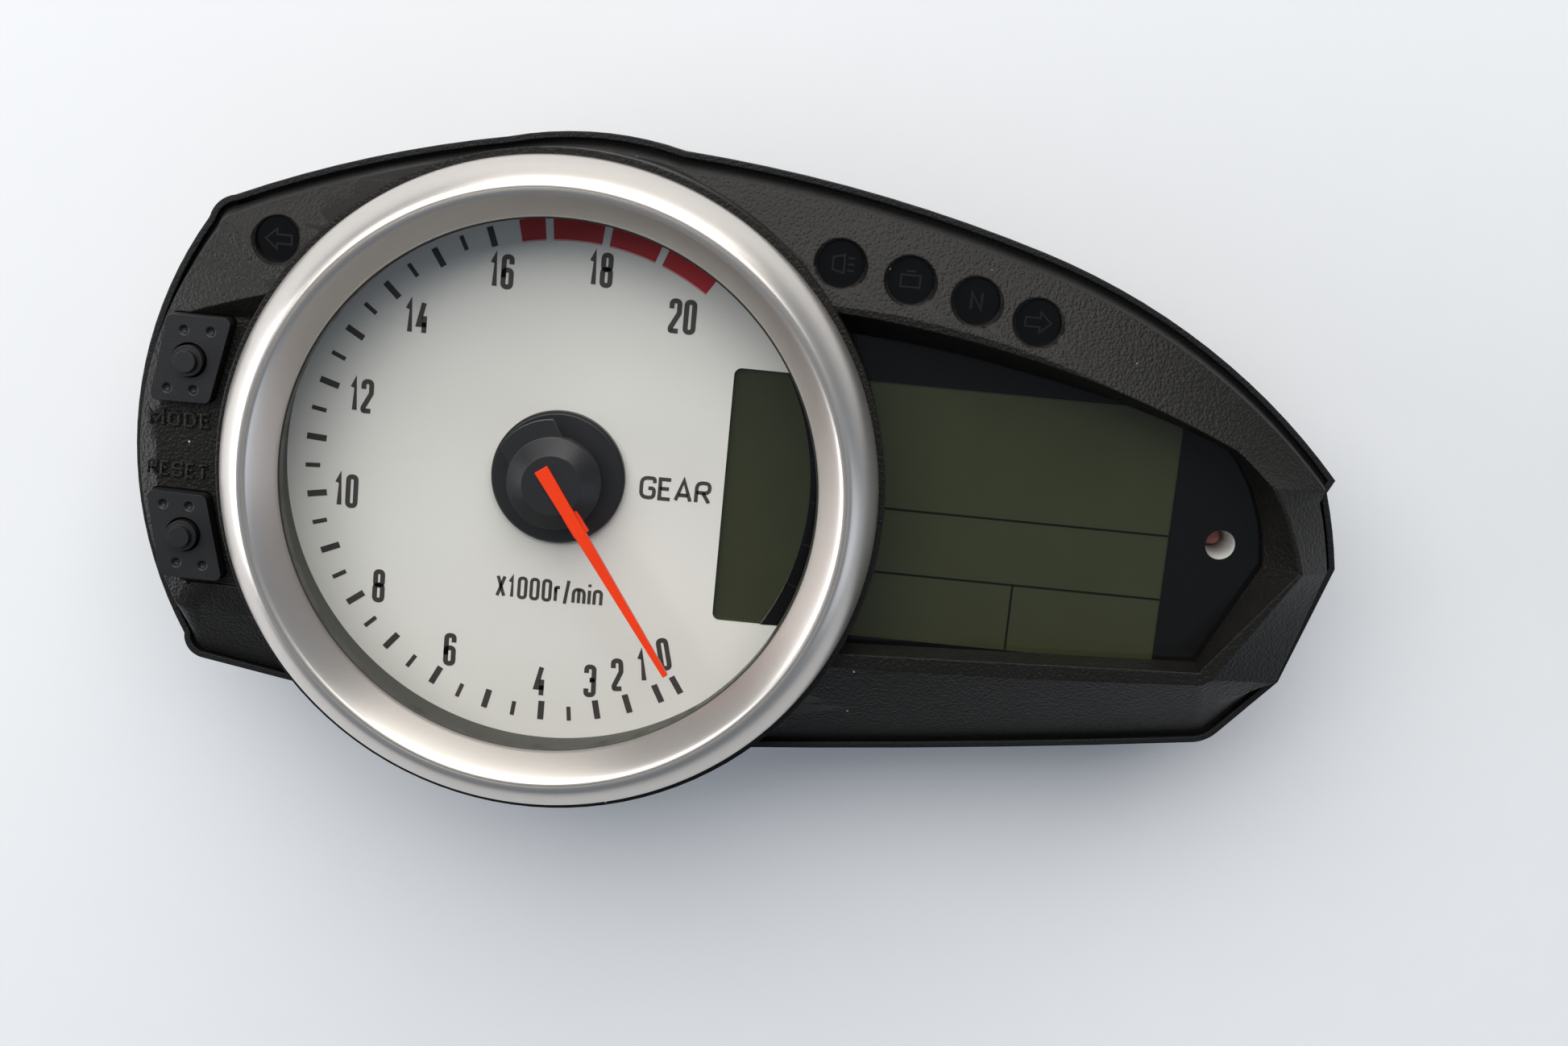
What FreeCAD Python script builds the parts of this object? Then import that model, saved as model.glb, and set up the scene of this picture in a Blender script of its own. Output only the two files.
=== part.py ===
"""Motorcycle instrument cluster: a rev counter with a pointer, a liquid crystal display beside it,
two push buttons on the left, and a sealed case with rubber mounts behind.

Lengths are millimetres. Every piece is drawn in the dial frame: X to the right along the display,
Y up the dial, Z out of the dial towards the rider, zero on the pointer's axis at the dial's face.
Each finished piece is then placed by one shift, so that the part stands on its back with the
middle of its footprint at the origin.
"""

import FreeCAD, Part
import math
import os
import re

from FreeCAD import Placement, Rotation, Vector

doc = FreeCAD.newDocument("instrument_cluster")
sheet = doc.addObject("Spreadsheet::Sheet", "Sizes")

SIZES = {
    # where the dial stands in the part's own frame
    "dial_x": -32.6,
    "dial_y": -1.3,
    "dial_z": 38.0,
    # case levels, from the dial's face
    "case_split": -4.6,
    "skirt_top": -3.0,
    "crease_level": 2.5,
    "crest_level": 8.5,
    "lip_top": -2.6,
    "flange_bottom": -7.0,
    "back_outside": -26.6,
    "back_inside": -24.4,
    "cover_inset": 1.9,
    "lip_inset": 1.1,
    "cover_wall": 2.2,
    "ledge_level": 3.9,
    # rev counter barrel, collar and ring
    "collar_radius": 59.2,
    "collar_inner": 57.0,
    "collar_bottom": -2.2,
    "ring_seat": 12.6,
    "seat_thick": 2.2,
    "barrel_radius": 50.2,
    "barrel_wall": 1.6,
    "ring_radius": 58.0,
    "ring_crest_radius": 52.4,
    "ring_crest": 20.8,
    "ring_inner": 47.2,
    "lens_radius": 52.4,
    "lens_bottom": 11.6,
    "seal_thick": 0.6,
    # dial, display and their lights
    "dial_radius": 50.1,
    "dial_thick": 0.6,
    "gear_left": 30.2,
    "gear_right_radius": 46.0,
    "gear_corner": 1.4,
    "display_right": 112.1,
    "display_top": 23.0,
    "display_bottom": -24.6,
    "mask_thick": 0.4,
    "panel_thick": 2.2,
    "panel_margin": 1.6,
    "window_low": 1.0,
    "window_lens_thick": 1.4,
    "guide_thick": 4.0,
    "lamp_x": 121.6,
    "lamp_y": -0.8,
    "lamp_radius": 2.75,
    # pointer
    "shaft_radius": 1.0,
    "shaft_clearance": 0.05,
    "disc_radius": 12.2,
    "disc_thick": 2.0,
    "cap_radius": 8.4,
    "cap_top_radius": 5.4,
    "cap_rim": 7.9,
    "cap_top": 10.3,
    "cap_bottom": 3.0,
    "wing_radius": 11.5,
    "wing_width": 10.7,
    "wing_thick": 1.5,
    "needle_tip": 40.1,
    "needle_tail": 3.5,
    "needle_wide": 2.6,
    "needle_narrow": 0.95,
    "needle_bottom": 9.6,
    "needle_thick": 1.2,
    "needle_angle": -54.8,
    "needle_root": 10.4,
    "needle_root_wide": 2.9,
    "needle_root_thick": 1.0,
    # lamp holes
    "hole_radius": 4.1,
    "hole_mouth": 5.0,
    "hole_tube": 5.7,
    "hole_depth": 2.4,
    # buttons
    "pad_top": 6.9,
    "pad_bottom": 1.6,
    "pad_flange": 1.2,
    "pad_corner": 1.2,
    "pad_clearance": 0.15,
    "nub_radius": 2.8,
    "nub_step": 8.3,
    "nub_tip_radius": 1.9,
    "nub_top": 9.6,
    "nub_gap": 0.35,
    "stem_radius": 1.5,
    "stem_bottom": -6.0,
    "dimple_radius": 0.9,
    # board, motor, switches and connector
    "board_top": -11.0,
    "board_thick": 1.6,
    "board_inset": 8.4,
    "motor_radius": 14.0,
    "motor_depth": 9.0,
    "switch_side": 6.0,
    "switch_height": 3.6,
    "plunger_radius": 1.7,
    "header_x": 80.0,
    "header_y": 2.0,
    "header_length": 36.0,
    "header_width": 13.0,
    "header_wall": 1.4,
    "header_bottom": -31.0,
    "header_floor": -17.0,
    "pin_side": 0.64,
    "pin_pitch": 3.6,
    # fasteners
    "screw_head": 3.1,
    "screw_head_thick": 2.2,
    "screw_radius": 1.5,
    "screw_seat": -9.0,
    "screw_tip": 0.5,
    "boss_radius": 3.7,
    "well_radius": 5.2,
    "well_hole": 3.6,
    # rear mounts
    "mount_boss": 9.6,
    "mount_pocket": 7.0,
    "mount_boss_end": -34.6,
    "mount_flange": 9.0,
    "mount_flange_end": -37.4,
    "mount_end": -38.0,
    "mount_pocket_top": -27.2,
    "sleeve_radius": 4.3,
    "sleeve_bore": 3.2,
    "vent_radius": 5.5,
    "vent_thick": 2.0,
}

for line, (alias, amount) in enumerate(SIZES.items(), start=1):
    sheet.set(f"A{line}", alias)
    sheet.set(f"B{line}", str(amount))
    sheet.setAlias(f"B{line}", alias)
doc.recompute()

# Corners of the case, counter-clockwise from the lower left: the outline at the lip, the crease
# where the side turns into the face, and the crest of the face. Without a crease of its own a
# corner runs straight from outline to crest. The last two numbers bow the edge to the next corner
# outwards, low down and at the crest: the arc's height over its chord.
CORNERS = [
    ("lower_left", (-68.4, -37.3), (-69.0, -29.6), (-60.0, -16.5), 0.20, 0.20),
    ("lower_left_turn", (-64.8, -41.8), (-64.2, -30.4), (-56.0, -17.5), 0.0, 0.0),
    ("ring_left", (-37.5, -46.3), None, (-47.0, -24.0), 0.165, 0.165),
    ("ring_right", (33.5, -49.3), None, (46.0, -28.6), 0.006, 0.006),
    ("lower_right", (121.5, -39.3), None, (118.4, -25.2), 0.10, 0.10),
    ("lower_right_turn", (126.5, -36.8), None, (120.2, -24.9), 0.0, 0.0),
    ("right_foot", (136.3, -26.0), (134.4, -24.9), (121.6, -23.9), 0.0, 0.0),
    ("tip", (143.6, -3.6), (140.8, -3.4), (134.9, -2.9), 0.02, 0.02),
    ("brow_notch", (140.0, 10.4), (137.6, 9.2), (130.4, 8.2), 0.0, 0.0),
    ("brow_end", (141.2, 12.8), (138.3, 11.6), (128.2, 11.9), 0.068, 0.036),
    ("brow_middle", (84.0, 48.5), (82.9, 45.3), (83.1, 31.3), 0.028, 0.032),
    ("bulge_right", (17.7, 60.3), (17.4, 57.2), (44.0, 36.6), 0.064, 0.064),
    ("bulge_left", (-13.5, 59.9), (-13.4, 56.9), (-14.0, 50.0), 0.028, 0.028),
    ("upper_left", (-62.0, 44.9), (-60.6, 41.6), (-45.0, 34.0), 0.15, 0.15),
    ("upper_left_turn", (-66.5, 40.6), (-63.6, 38.4), (-48.0, 30.0), 0.141, 0.141),
]
BOWS = [corner[4] for corner in CORNERS]

# The inside of the cover and the deep part behind leave out the short edges.
STRAIGHT = ("lower_left", "lower_right", "tip")
SHORT = ("lower_left_turn", "lower_right_turn", "brow_notch", "upper_left_turn")
PLAIN = [(*corner[:4], 0.0, 0.0) if corner[0] in STRAIGHT else corner
         for corner in CORNERS if corner[0] not in SHORT]
PLAIN_BOWS = [corner[4] for corner in PLAIN]

# The display window's mouth at the crest and its foot above the display lens, with one list of
# bows for both.
WINDOW_MOUTH = [(44.0, -26.4), (119.0, -22.9), (134.3, -3.0), (130.0, 7.8), (127.6, 11.6),
                (120.6, 17.9), (82.7, 30.4), (44.0, 35.6)]
WINDOW_FOOT = [(44.0, -26.2), (119.6, -22.8), (129.3, -3.5), (127.8, 4.6), (125.6, 9.9),
               (120.6, 16.9), (83.4, 27.1), (44.0, 31.6)]
WINDOW_BOWS = [0.0, 0.0, 0.02, 0.0, 0.03, 0.025, 0.022, 0.0]

LAMP_HOLES = [(-52.2, 38.2), (47.3, 43.6), (59.8, 41.9), (71.8, 39.4), (83.0, 36.7)]
PAD_CORNERS = [(-73.3, 7.9), (-62.5, 8.1), (-58.9, 23.7), (-70.4, 23.6)]
NUB_PLACE = (-66.3, 15.6)
# The arc of a quarter turn, as its height over its chord.
QUARTER_BOW = 0.2071
DIMPLES = [(-1.1, 5.3), (3.7, 5.4), (-3.8, -5.3), (0.9, -5.3)]
SCREW_PLACES = [(-58.0, 33.0), (-61.5, -30.2), (42.0, -38.0), (118.0, -30.5), (111.4, 28.7),
                (53.4, 50.0)]
BOARD_SCREW_PLACES = [(-36.0, 26.0), (-36.0, -30.0), (22.0, -34.0), (22.0, 36.0)]
MOUNT_PLACES = [(-40.0, 33.0), (24.0, -31.0), (108.0, 10.0)]


def size(name):
    """The value of one cell of the sheet."""
    return float(getattr(sheet, name))


def bind(item, prop, formula):
    """Bind a property to a formula of cell names."""
    item.setExpression(prop, re.sub(r"[a-z][a-z_]*", r"Sizes.\g<0>", str(formula)))


def at(item, x=0.0, y=0.0, z=0.0, turn=None):
    """Place an item, each coordinate a number or a formula of cell names."""
    if turn is not None:
        item.Placement = Placement(Vector(0, 0, 0), turn)
    for prop, value in (("x", x), ("y", y), ("z", z)):
        bind(item, "Placement.Base." + prop, value)
    return item


def cylinder(name, radius, bottom, top, x=0.0, y=0.0):
    """A round bar along Z between two levels."""
    item = doc.addObject("Part::Cylinder", name)
    bind(item, "Radius", radius)
    bind(item, "Height", f"({top}) - ({bottom})")
    return at(item, x, y, bottom)


def cone(name, low_radius, high_radius, bottom, top, x=0.0, y=0.0):
    """A taper along Z between two levels."""
    item = doc.addObject("Part::Cone", name)
    bind(item, "Radius1", low_radius)
    bind(item, "Radius2", high_radius)
    bind(item, "Height", f"({top}) - ({bottom})")
    return at(item, x, y, bottom)


def block(name, low, high):
    """A box between two corners, each coordinate a number or a formula."""
    item = doc.addObject("Part::Box", name)
    for prop, start, end in zip(("Length", "Width", "Height"), low, high):
        bind(item, prop, f"({end}) - ({start})")
    return at(item, *low)


def fuse(name, items):
    """Join several items."""
    item = doc.addObject("Part::MultiFuse", name)
    item.Shapes = items
    return item


def cut(name, base, tools):
    """Take tools away from a base."""
    item = doc.addObject("Part::Cut", name)
    item.Base = base
    item.Tool = tools[0] if len(tools) == 1 else fuse(name + "_tools", tools)
    return item


def common(name, items):
    """What several items share."""
    item = doc.addObject("Part::MultiCommon", name)
    item.Shapes = items
    return item


def group(name, items):
    """Separate like solids under one name."""
    item = doc.addObject("Part::Compound", name)
    item.Links = items
    return item


def edge_directions(start, end, bow):
    """The unit directions in which a bowed edge leaves its start and reaches its end."""
    heading = math.atan2(end[1] - start[1], end[0] - start[0])
    half_turn = 2 * math.atan(2 * bow)
    return [(math.cos(a), math.sin(a)) for a in (heading - half_turn, heading + half_turn)]


def grow(points, bows, distance):
    """Move a counter-clockwise outline outwards by a distance, keeping its bows."""
    count = len(points)
    moved = []
    for i, point in enumerate(points):
        before = edge_directions(points[i - 1], point, bows[i - 1])[1]
        after = edge_directions(point, points[(i + 1) % count], bows[i])[0]
        out_x = before[1] + after[1]
        out_y = -before[0] - after[0]
        scale = distance / (1 + before[0] * after[0] + before[1] * after[1])
        moved.append((point[0] + out_x * scale, point[1] + out_y * scale))
    return moved


def outline_edges(points, bows):
    """Lines and arcs round an outline."""
    edges = []
    for i, start in enumerate(points):
        end = points[(i + 1) % len(points)]
        bow = bows[i] if bows else 0.0
        first = Vector(start[0], start[1], 0)
        last = Vector(end[0], end[1], 0)
        if bow == 0.0:
            edges.append(Part.LineSegment(first, last))
            continue
        outward = Vector(end[1] - start[1], start[0] - end[0], 0)
        edges.append(Part.Arc(first, (first + last) * 0.5 + outward * bow, last))
    return edges


def origin_plane(body, role):
    """One of a body's own origin planes."""
    return next(f for f in body.Origin.OriginFeatures if f.Role == role)


def sketch_on(body, name, role, edges, level=None):
    """A sketch of given edges on one of the body's origin planes, at a level above it."""
    sketch = body.newObject("Sketcher::SketchObject", name)
    sketch.AttachmentSupport = [(origin_plane(body, role), "")]
    sketch.MapMode = "FlatFace"
    if level is not None:
        bind(sketch, "AttachmentOffset.Base.z", level)
    sketch.addGeometry(edges, False)
    return sketch


def prism(name, points, bottom, top, bows=None):
    """An outline raised between two levels."""
    body = doc.addObject("PartDesign::Body", name)
    sketch = sketch_on(body, name + "_outline", "XY_Plane", outline_edges(points, bows), bottom)
    pad = body.newObject("PartDesign::Pad", name + "_pad")
    pad.Profile = sketch
    bind(pad, "Length", f"({top}) - ({bottom})")
    return body


def facets(name, sections):
    """Straight-sided solid through (level, points, bows) outlines, joined corner to corner."""
    rings = []
    for level, points, bows in sections:
        edges = [curve.toShape() for curve in outline_edges(points, bows)]
        for edge in edges:
            edge.translate(Vector(0, 0, level))
        rings.append(edges)
    faces = [Part.Face(Part.Wire(ring)) for ring in (rings[0], rings[-1])]
    for low, high in zip(rings, rings[1:]):
        faces += [Part.makeRuledSurface(first, second) for first, second in zip(low, high)]
    shell = Part.makeShell(faces)
    shell.sewShape()
    solid = Part.makeSolid(Part.Shell(shell.Faces))
    if solid.Volume < 0:
        solid.reverse()
    item = doc.addObject("Part::Feature", name)
    item.Shape = solid
    return item


def turned(name, profile):
    """A profile of (radius, level) points turned about the pointer's axis."""
    body = doc.addObject("PartDesign::Body", name)
    edges = outline_edges(profile, None)
    sketch = sketch_on(body, name + "_profile", "XZ_Plane", edges)
    spin = body.newObject("PartDesign::Revolution", name + "_turn")
    spin.Profile = sketch
    spin.ReferenceAxis = (sketch, ["V_Axis"])
    spin.Angle = 360.0
    return body


def silhouette(inset):
    """The case's outline moved inwards."""
    return grow([corner[1] for corner in CORNERS], BOWS, -inset)


def pan_outline(inset):
    """The plain outline of the deep part, moved inwards."""
    return grow([corner[1] for corner in PLAIN], PLAIN_BOWS, -inset)


def crease_points(corners, outer):
    """The crease's corners; a corner without its own lies on the way from outline to crest."""
    share = (size("crease_level") - size("skirt_top")) / (size("crest_level") - size("skirt_top"))
    points = []
    for (_, _, crease, crest, _, _), low in zip(corners, outer):
        between = tuple(a + (b - a) * share for a, b in zip(low, crest))
        points.append(crease or between)
    return points


def case_skin(name, inset, drop, corners=CORNERS):
    """The front cover's solid form with its button ledge, shrunk by an inset and lowered."""
    bows = [corner[4] for corner in corners]
    crest_bows = [corner[5] for corner in corners]
    edge = grow([corner[1] for corner in corners], bows, -size("cover_inset"))
    outer = grow(edge, bows, -inset)
    crease = grow(crease_points(corners, edge), bows, -inset)
    crest = grow([corner[3] for corner in corners], crest_bows, -inset)
    start = size("case_split") - (1 if inset else 0)
    form = facets(name + "_form", [
        (start, outer, bows),
        (size("skirt_top"), outer, bows),
        (size("crease_level") - drop * 0.6, crease, bows),
        (size("crest_level") - drop, crest, crest_bows),
    ])
    return cut(name, form, [ledge_tool(name + "_ledge", drop)])


def ledge_tool(name, drop):
    """What is cleared above the button ledge, with the slope that climbs away above the pads."""
    body = doc.addObject("PartDesign::Body", name)
    level = size("ledge_level") - drop
    low, foot, rise = -25.4, 23.8, 12.0
    edges = outline_edges([(low, level), (foot, level), (foot + 1.35 * rise, level + rise),
                           (low, level + rise)], None)
    sketch = sketch_on(body, name + "_profile", "YZ_Plane", edges, -90.0)
    pad = body.newObject("PartDesign::Pad", name + "_pad")
    pad.Profile = sketch
    pad.Length = 47.0
    return body


def face_height(skin, x, y):
    """Height of a solid form's face over one place."""
    probe = Part.makeLine(Vector(x, y, -30), Vector(x, y, 30)).common(skin.Shape)
    return probe.BoundBox.ZMax


def face_normal(skin, x, y, reach=3.0):
    """Direction square to a solid form's face over one place."""
    rise_x = face_height(skin, x + reach, y) - face_height(skin, x - reach, y)
    rise_y = face_height(skin, x, y + reach) - face_height(skin, x, y - reach)
    return Vector(-rise_x, -rise_y, 2 * reach).normalize()


def lamp_hole_tools(index, skin, x, y):
    """The bore of one lamp hole and its chamfered mouth, square to the sloping face."""
    bore = cylinder(f"hole_bore_{index}", "hole_radius", -12.0, 12.0, x, y)
    mouth = cone(f"hole_mouth_{index}", "hole_radius", "hole_mouth", 0, 1.2)
    normal = face_normal(skin, x, y)
    foot = Vector(x, y, face_height(skin, x, y)) - normal * 1.0
    return [bore, at(mouth, foot.x, foot.y, foot.z, Rotation(Vector(0, 0, 1), normal))]


def pad_prism(name, mirrored, inset, bottom, top):
    """A button pad's outline with round corners, raised; the lower pad mirrors the upper one."""
    points = PAD_CORNERS
    if mirrored:
        points = [(x, -y - 0.6) for x, y in reversed(PAD_CORNERS)]
    corners = [Vector(x, y, 0) for x, y in grow(points, [0.0] * len(points), -inset)]
    outline, bows = [], []
    for i, corner in enumerate(corners):
        before = (corners[i - 1] - corner).normalize()
        after = (corners[(i + 1) % len(corners)] - corner).normalize()
        turn = math.pi - before.getAngle(after)
        trim = size("pad_corner") * math.tan(turn / 2)
        outline += [tuple((corner + side * trim)[:2]) for side in (before, after)]
        bows += [math.tan(turn / 4) / 2, 0.0]
    return prism(name, outline, bottom, top, bows)


def nub_place(mirrored):
    """Where a button's nub stands."""
    x, y = NUB_PLACE
    return (x, -y - 0.6) if mirrored else (x, y)


BUTTONS = [("mode", False), ("reset", True)]


def front_cover(skin):
    """Grained shell: sloping faces, collar and barrel, window funnel, lamp tubes and bosses."""
    hollow = case_skin("cover_hollow", 2.6, size("cover_wall"), PLAIN)
    limit = case_skin("cover_limit", 0.4, 0.4)
    shell = cut("cover_shell", skin, [hollow])

    foot = size("window_low")
    mouth = size("crest_level")
    skirt = facets("window_skirt", [
        (foot, grow(WINDOW_FOOT, WINDOW_BOWS, 2.0), WINDOW_BOWS),
        (mouth, grow(WINDOW_MOUTH, WINDOW_BOWS, 1.6), WINDOW_BOWS),
    ])
    bosses = [cylinder(f"cover_boss_{i}", "boss_radius", "case_split", "crest_level", x, y)
              for i, (x, y) in enumerate(SCREW_PLACES)]
    tubes = [cylinder(f"hole_tube_{i}", "hole_tube", -4.0, "crest_level", x, y)
             for i, (x, y) in enumerate(LAMP_HOLES)]
    inside = common("cover_inside", [fuse("cover_inside_parts", [skirt] + bosses + tubes), limit])

    funnel = facets("window_funnel", [
        (foot - 4, WINDOW_FOOT, WINDOW_BOWS),
        (foot, WINDOW_FOOT, WINDOW_BOWS),
        (mouth, WINDOW_MOUTH, WINDOW_BOWS),
        (mouth + 3, WINDOW_MOUTH, WINDOW_BOWS),
    ])
    core = cylinder("barrel_core", "collar_radius - 1", "case_split - 2", "crest_level + 6")
    opened = cut("cover_opened", fuse("cover_body", [shell, inside]), [funnel, core])

    collar = cut("collar", cylinder("collar_bar", "collar_radius", "collar_bottom", "ring_seat"),
                 [cylinder("collar_hollow", "collar_inner", "collar_bottom - 1",
                           "ring_seat - seat_thick")])
    barrel = cylinder("barrel_bar", "barrel_radius + barrel_wall", "0 - dial_thick", "ring_seat")
    whole = fuse("cover_whole", [opened, collar, barrel])

    tools = [
        cylinder("barrel_bore", "barrel_radius", "0 - 3", "ring_seat + 1"),
        cylinder("lens_recess", "lens_radius + 0.1", "lens_bottom - seal_thick", "ring_seat + 1"),
        cut("lens_pocket", prism("lens_pocket_form", grow(WINDOW_FOOT, WINDOW_BOWS, 2.2),
                                 "collar_bottom - 1", "window_low", WINDOW_BOWS),
            [cylinder("lens_pocket_core", "barrel_radius + barrel_wall", "0 - 9", 9)]),
    ]
    for i, (x, y) in enumerate(LAMP_HOLES):
        tools += lamp_hole_tools(i, skin, x, y)
    for i, (x, y) in enumerate(SCREW_PLACES):
        tools.append(cylinder(f"cover_boss_bore_{i}", "screw_radius", "case_split - 1",
                              "screw_tip + 0.3", x, y))
    for name, mirrored in BUTTONS:
        tools.append(pad_prism(name + "_opening", mirrored, -size("pad_clearance"), 0, 9))
        tools.append(pad_prism(name + "_flange_room", mirrored, -1.15, "case_split - 1",
                               "pad_bottom"))
    return cut("front_cover", whole, tools)


def rear_pan(name):
    """The outside of the deep part behind the flange."""
    return facets(name, [
        (size("back_outside"), pan_outline(8.6), PLAIN_BOWS),
        (size("back_outside") + 3, pan_outline(5.8), PLAIN_BOWS),
        (size("flange_bottom"), pan_outline(3.2), PLAIN_BOWS),
    ])


def rear_cover():
    """Deep pan with a lip round the front cover, screw wells, mount bosses and openings."""
    flange = prism("rear_flange", silhouette(0), "flange_bottom", "lip_top", BOWS)
    pan = rear_pan("rear_pan")
    hollow = facets("rear_hollow", [
        (size("back_inside"), pan_outline(10.8), PLAIN_BOWS),
        (size("back_inside") + 2.6, pan_outline(7.9), PLAIN_BOWS),
        (size("flange_bottom") + 1, pan_outline(5.4), PLAIN_BOWS),
        (size("lip_top") + 1, pan_outline(5.4), PLAIN_BOWS),
    ])
    recess = prism("lip_recess", silhouette(size("lip_inset")), "case_split", "lip_top + 1", BOWS)
    seat = seal_band("seal_seat")
    base = cut("rear_pan_open", fuse("rear_pan_solid", [flange, pan]), [hollow])

    added = [cylinder(f"screw_well_{i}", "well_radius", "back_outside", "case_split", x, y)
             for i, (x, y) in enumerate(SCREW_PLACES)]
    limit_top = prism("rear_limit_top", silhouette(1.2), "flange_bottom", "case_split", BOWS)
    limit = fuse("rear_limit", [limit_top, rear_pan("rear_limit_pan")])
    added = [common("screw_wells", [fuse("screw_well_bars", added), limit])]
    added += [cylinder(f"board_post_{i}", "boss_radius", "back_outside + 1",
                       "board_top - board_thick", x, y)
              for i, (x, y) in enumerate(BOARD_SCREW_PLACES)]

    tools = [recess, seat]
    for i, (x, y) in enumerate(SCREW_PLACES):
        tools.append(cylinder(f"well_bore_{i}", "well_hole", "back_outside - 1", "screw_seat", x, y))
        tools.append(cylinder(f"well_through_{i}", "screw_radius + 0.2", "screw_seat - 1",
                              "case_split + 1", x, y))
    for i, (x, y) in enumerate(BOARD_SCREW_PLACES):
        tools.append(cylinder(f"post_bore_{i}", "screw_radius", "board_top - 9", "board_top", x, y))
    half_length = size("header_length") / 2 + 0.4
    half_width = size("header_width") / 2 + 0.4
    tools.append(block("header_opening",
                       (f"header_x - {half_length}", f"header_y - {half_width}", "back_outside - 2"),
                       (f"header_x + {half_length}", f"header_y + {half_width}", "back_inside + 2")))
    tools.append(cylinder("vent_hole", "vent_radius - 2.5", "back_outside - 1", "back_inside + 1",
                          -8.0, -30.0))
    return cut("rear_cover", fuse("rear_with_posts", [base] + added), tools)


def seal_band(name):
    """The rubber band that lies in the rear cover's groove."""
    return cut(name, prism(name + "_outer", silhouette(2.4), "case_split - 1.0", "case_split", BOWS),
               [prism(name + "_inner", silhouette(4.2), "case_split - 2", "case_split + 1", BOWS)])


def bezel_ring():
    """Hollow silver ring: a rounded flank, a fine groove at the crest and an inner cone."""
    seat = size("ring_seat")
    crest = size("ring_crest")
    outer = size("ring_radius")
    inner = size("ring_inner")
    groove = size("ring_crest_radius")
    return turned("bezel_ring", [
        (inner, seat + 0.05), (inner + 2.6, seat + 0.05), (groove + 0.2, crest - 2.9),
        (outer - 2.2, seat + 0.05), (outer, seat + 0.05), (outer, seat + 1.4),
        (outer - 0.35, seat + 3.0), (outer - 1.5, seat + 5.0), (outer - 3.2, crest - 1.1),
        (groove + 0.75, crest - 0.12), (groove + 0.3, crest - 0.1), (groove, crest - 0.55),
        (groove - 0.3, crest - 0.15), (groove - 0.8, crest - 0.35), (groove - 2.2, crest - 2.4),
        (inner + 1.3, seat + 3.1), (inner + 0.15, seat + 0.6),
    ])


def dial_pieces():
    """White dial with the gear window, the light guide under it and the black middle disc."""
    left = size("gear_left")
    far = size("dial_radius")
    low = size("display_bottom") + 0.5
    high = size("display_top")
    corner = size("gear_corner")
    outline = [(left, low + corner), (left + corner, low), (far, low), (far, high),
               (left + corner, high), (left, high - corner)]
    bows = [QUARTER_BOW, 0.0, 0.0, 0.0, QUARTER_BOW, 0.0]
    window = common("gear_window", [prism("gear_box", outline, -2, 2, bows),
                                    cylinder("gear_edge", "gear_right_radius", -2, 2)])
    hole = cylinder("dial_hole", 2.5, -6, 6)
    dial_plate = cut("dial_plate", cylinder("dial_blank", "dial_radius", "0 - dial_thick", 0),
                     [window, hole])
    guide = cut("dial_light_guide",
                cylinder("dial_guide_blank", "dial_radius", "0 - dial_thick - guide_thick",
                         "0 - dial_thick"),
                [block("dial_guide_cut", ("gear_left - 4.2", -60, -9), (60, 60, 2)),
                 cylinder("dial_guide_hole", 2.5, -9, 6)])
    disc = cut("dial_disc", fuse("disc_form", [
        cylinder("disc_bar", "disc_radius", 0, "disc_thick - 0.5"),
        cone("disc_edge", "disc_radius", "disc_radius - 0.5", "disc_thick - 0.5", "disc_thick")]),
        [cylinder("disc_hole", 2.5, -6, 6)])
    return [dial_plate, guide, disc]


def display_pieces():
    """Display lens, black mask, liquid crystal panel, its frame, light guide and contact strips."""
    core = cylinder("display_core", "barrel_radius + barrel_wall + 0.1", -9, 9)
    lens = cut("display_lens", prism("display_lens_form", grow(WINDOW_FOOT, WINDOW_BOWS, 2.0),
                                     "window_low - window_lens_thick", "window_low", WINDOW_BOWS),
               [core])
    mask_outline = grow(WINDOW_FOOT, WINDOW_BOWS, 2.0)
    mask_outline[0] = (size("gear_left") - 2.0, mask_outline[0][1])
    mask_outline[-1] = (size("gear_left") - 2.0, mask_outline[-1][1])
    under = "0 - dial_thick"
    mask = cut("display_mask",
               prism("mask_form", mask_outline, under + " - mask_thick", under, WINDOW_BOWS),
               [block("mask_opening", ("gear_left", "display_bottom", -3),
                      ("display_right", "display_top", 2)),
                cylinder("mask_lamp", "lamp_radius", -3, 2, "lamp_x", "lamp_y")])
    margin = "panel_margin"
    top = under + " - mask_thick"
    panel = block("lcd_panel",
                  (f"gear_left - {margin}", f"display_bottom - {margin}", top + " - panel_thick"),
                  (f"display_right + {margin}", f"display_top + {margin}", top))
    frame_low = (f"gear_left - {margin} - 2", f"display_bottom - {margin} - 1.6", "board_top")
    frame_high = (f"display_right + {margin} + 2", f"display_top + {margin} + 1.6", top)
    opening = block("frame_opening",
                    (f"gear_left - {margin} - 0.1", f"display_bottom - {margin} - 0.1", -12),
                    (f"display_right + {margin} + 0.1", f"display_top + {margin} + 0.1", 2))
    notches = [cylinder(f"frame_notch_{i}", "well_radius + 0.4", -20, 2, x, y)
               for i, (x, y) in enumerate(SCREW_PLACES)]
    frame = cut("lcd_frame", block("frame_blank", frame_low, frame_high), [opening] + notches)
    below = top + " - panel_thick"
    light = block("light_guide", ("gear_left", "display_bottom + 1.6", below + " - guide_thick"),
                  ("display_right", "display_top - 1.6", below))
    strips = [
        block("zebra_upper", ("gear_left + 5", "display_top - 1.2", "board_top"),
              ("display_right - 5", "display_top + 0.6", below)),
        block("zebra_lower", ("gear_left + 5", "display_bottom - 0.6", "board_top"),
              ("display_right - 5", "display_bottom + 1.2", below)),
    ]
    return [lens, mask, panel, frame, light] + strips


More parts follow.
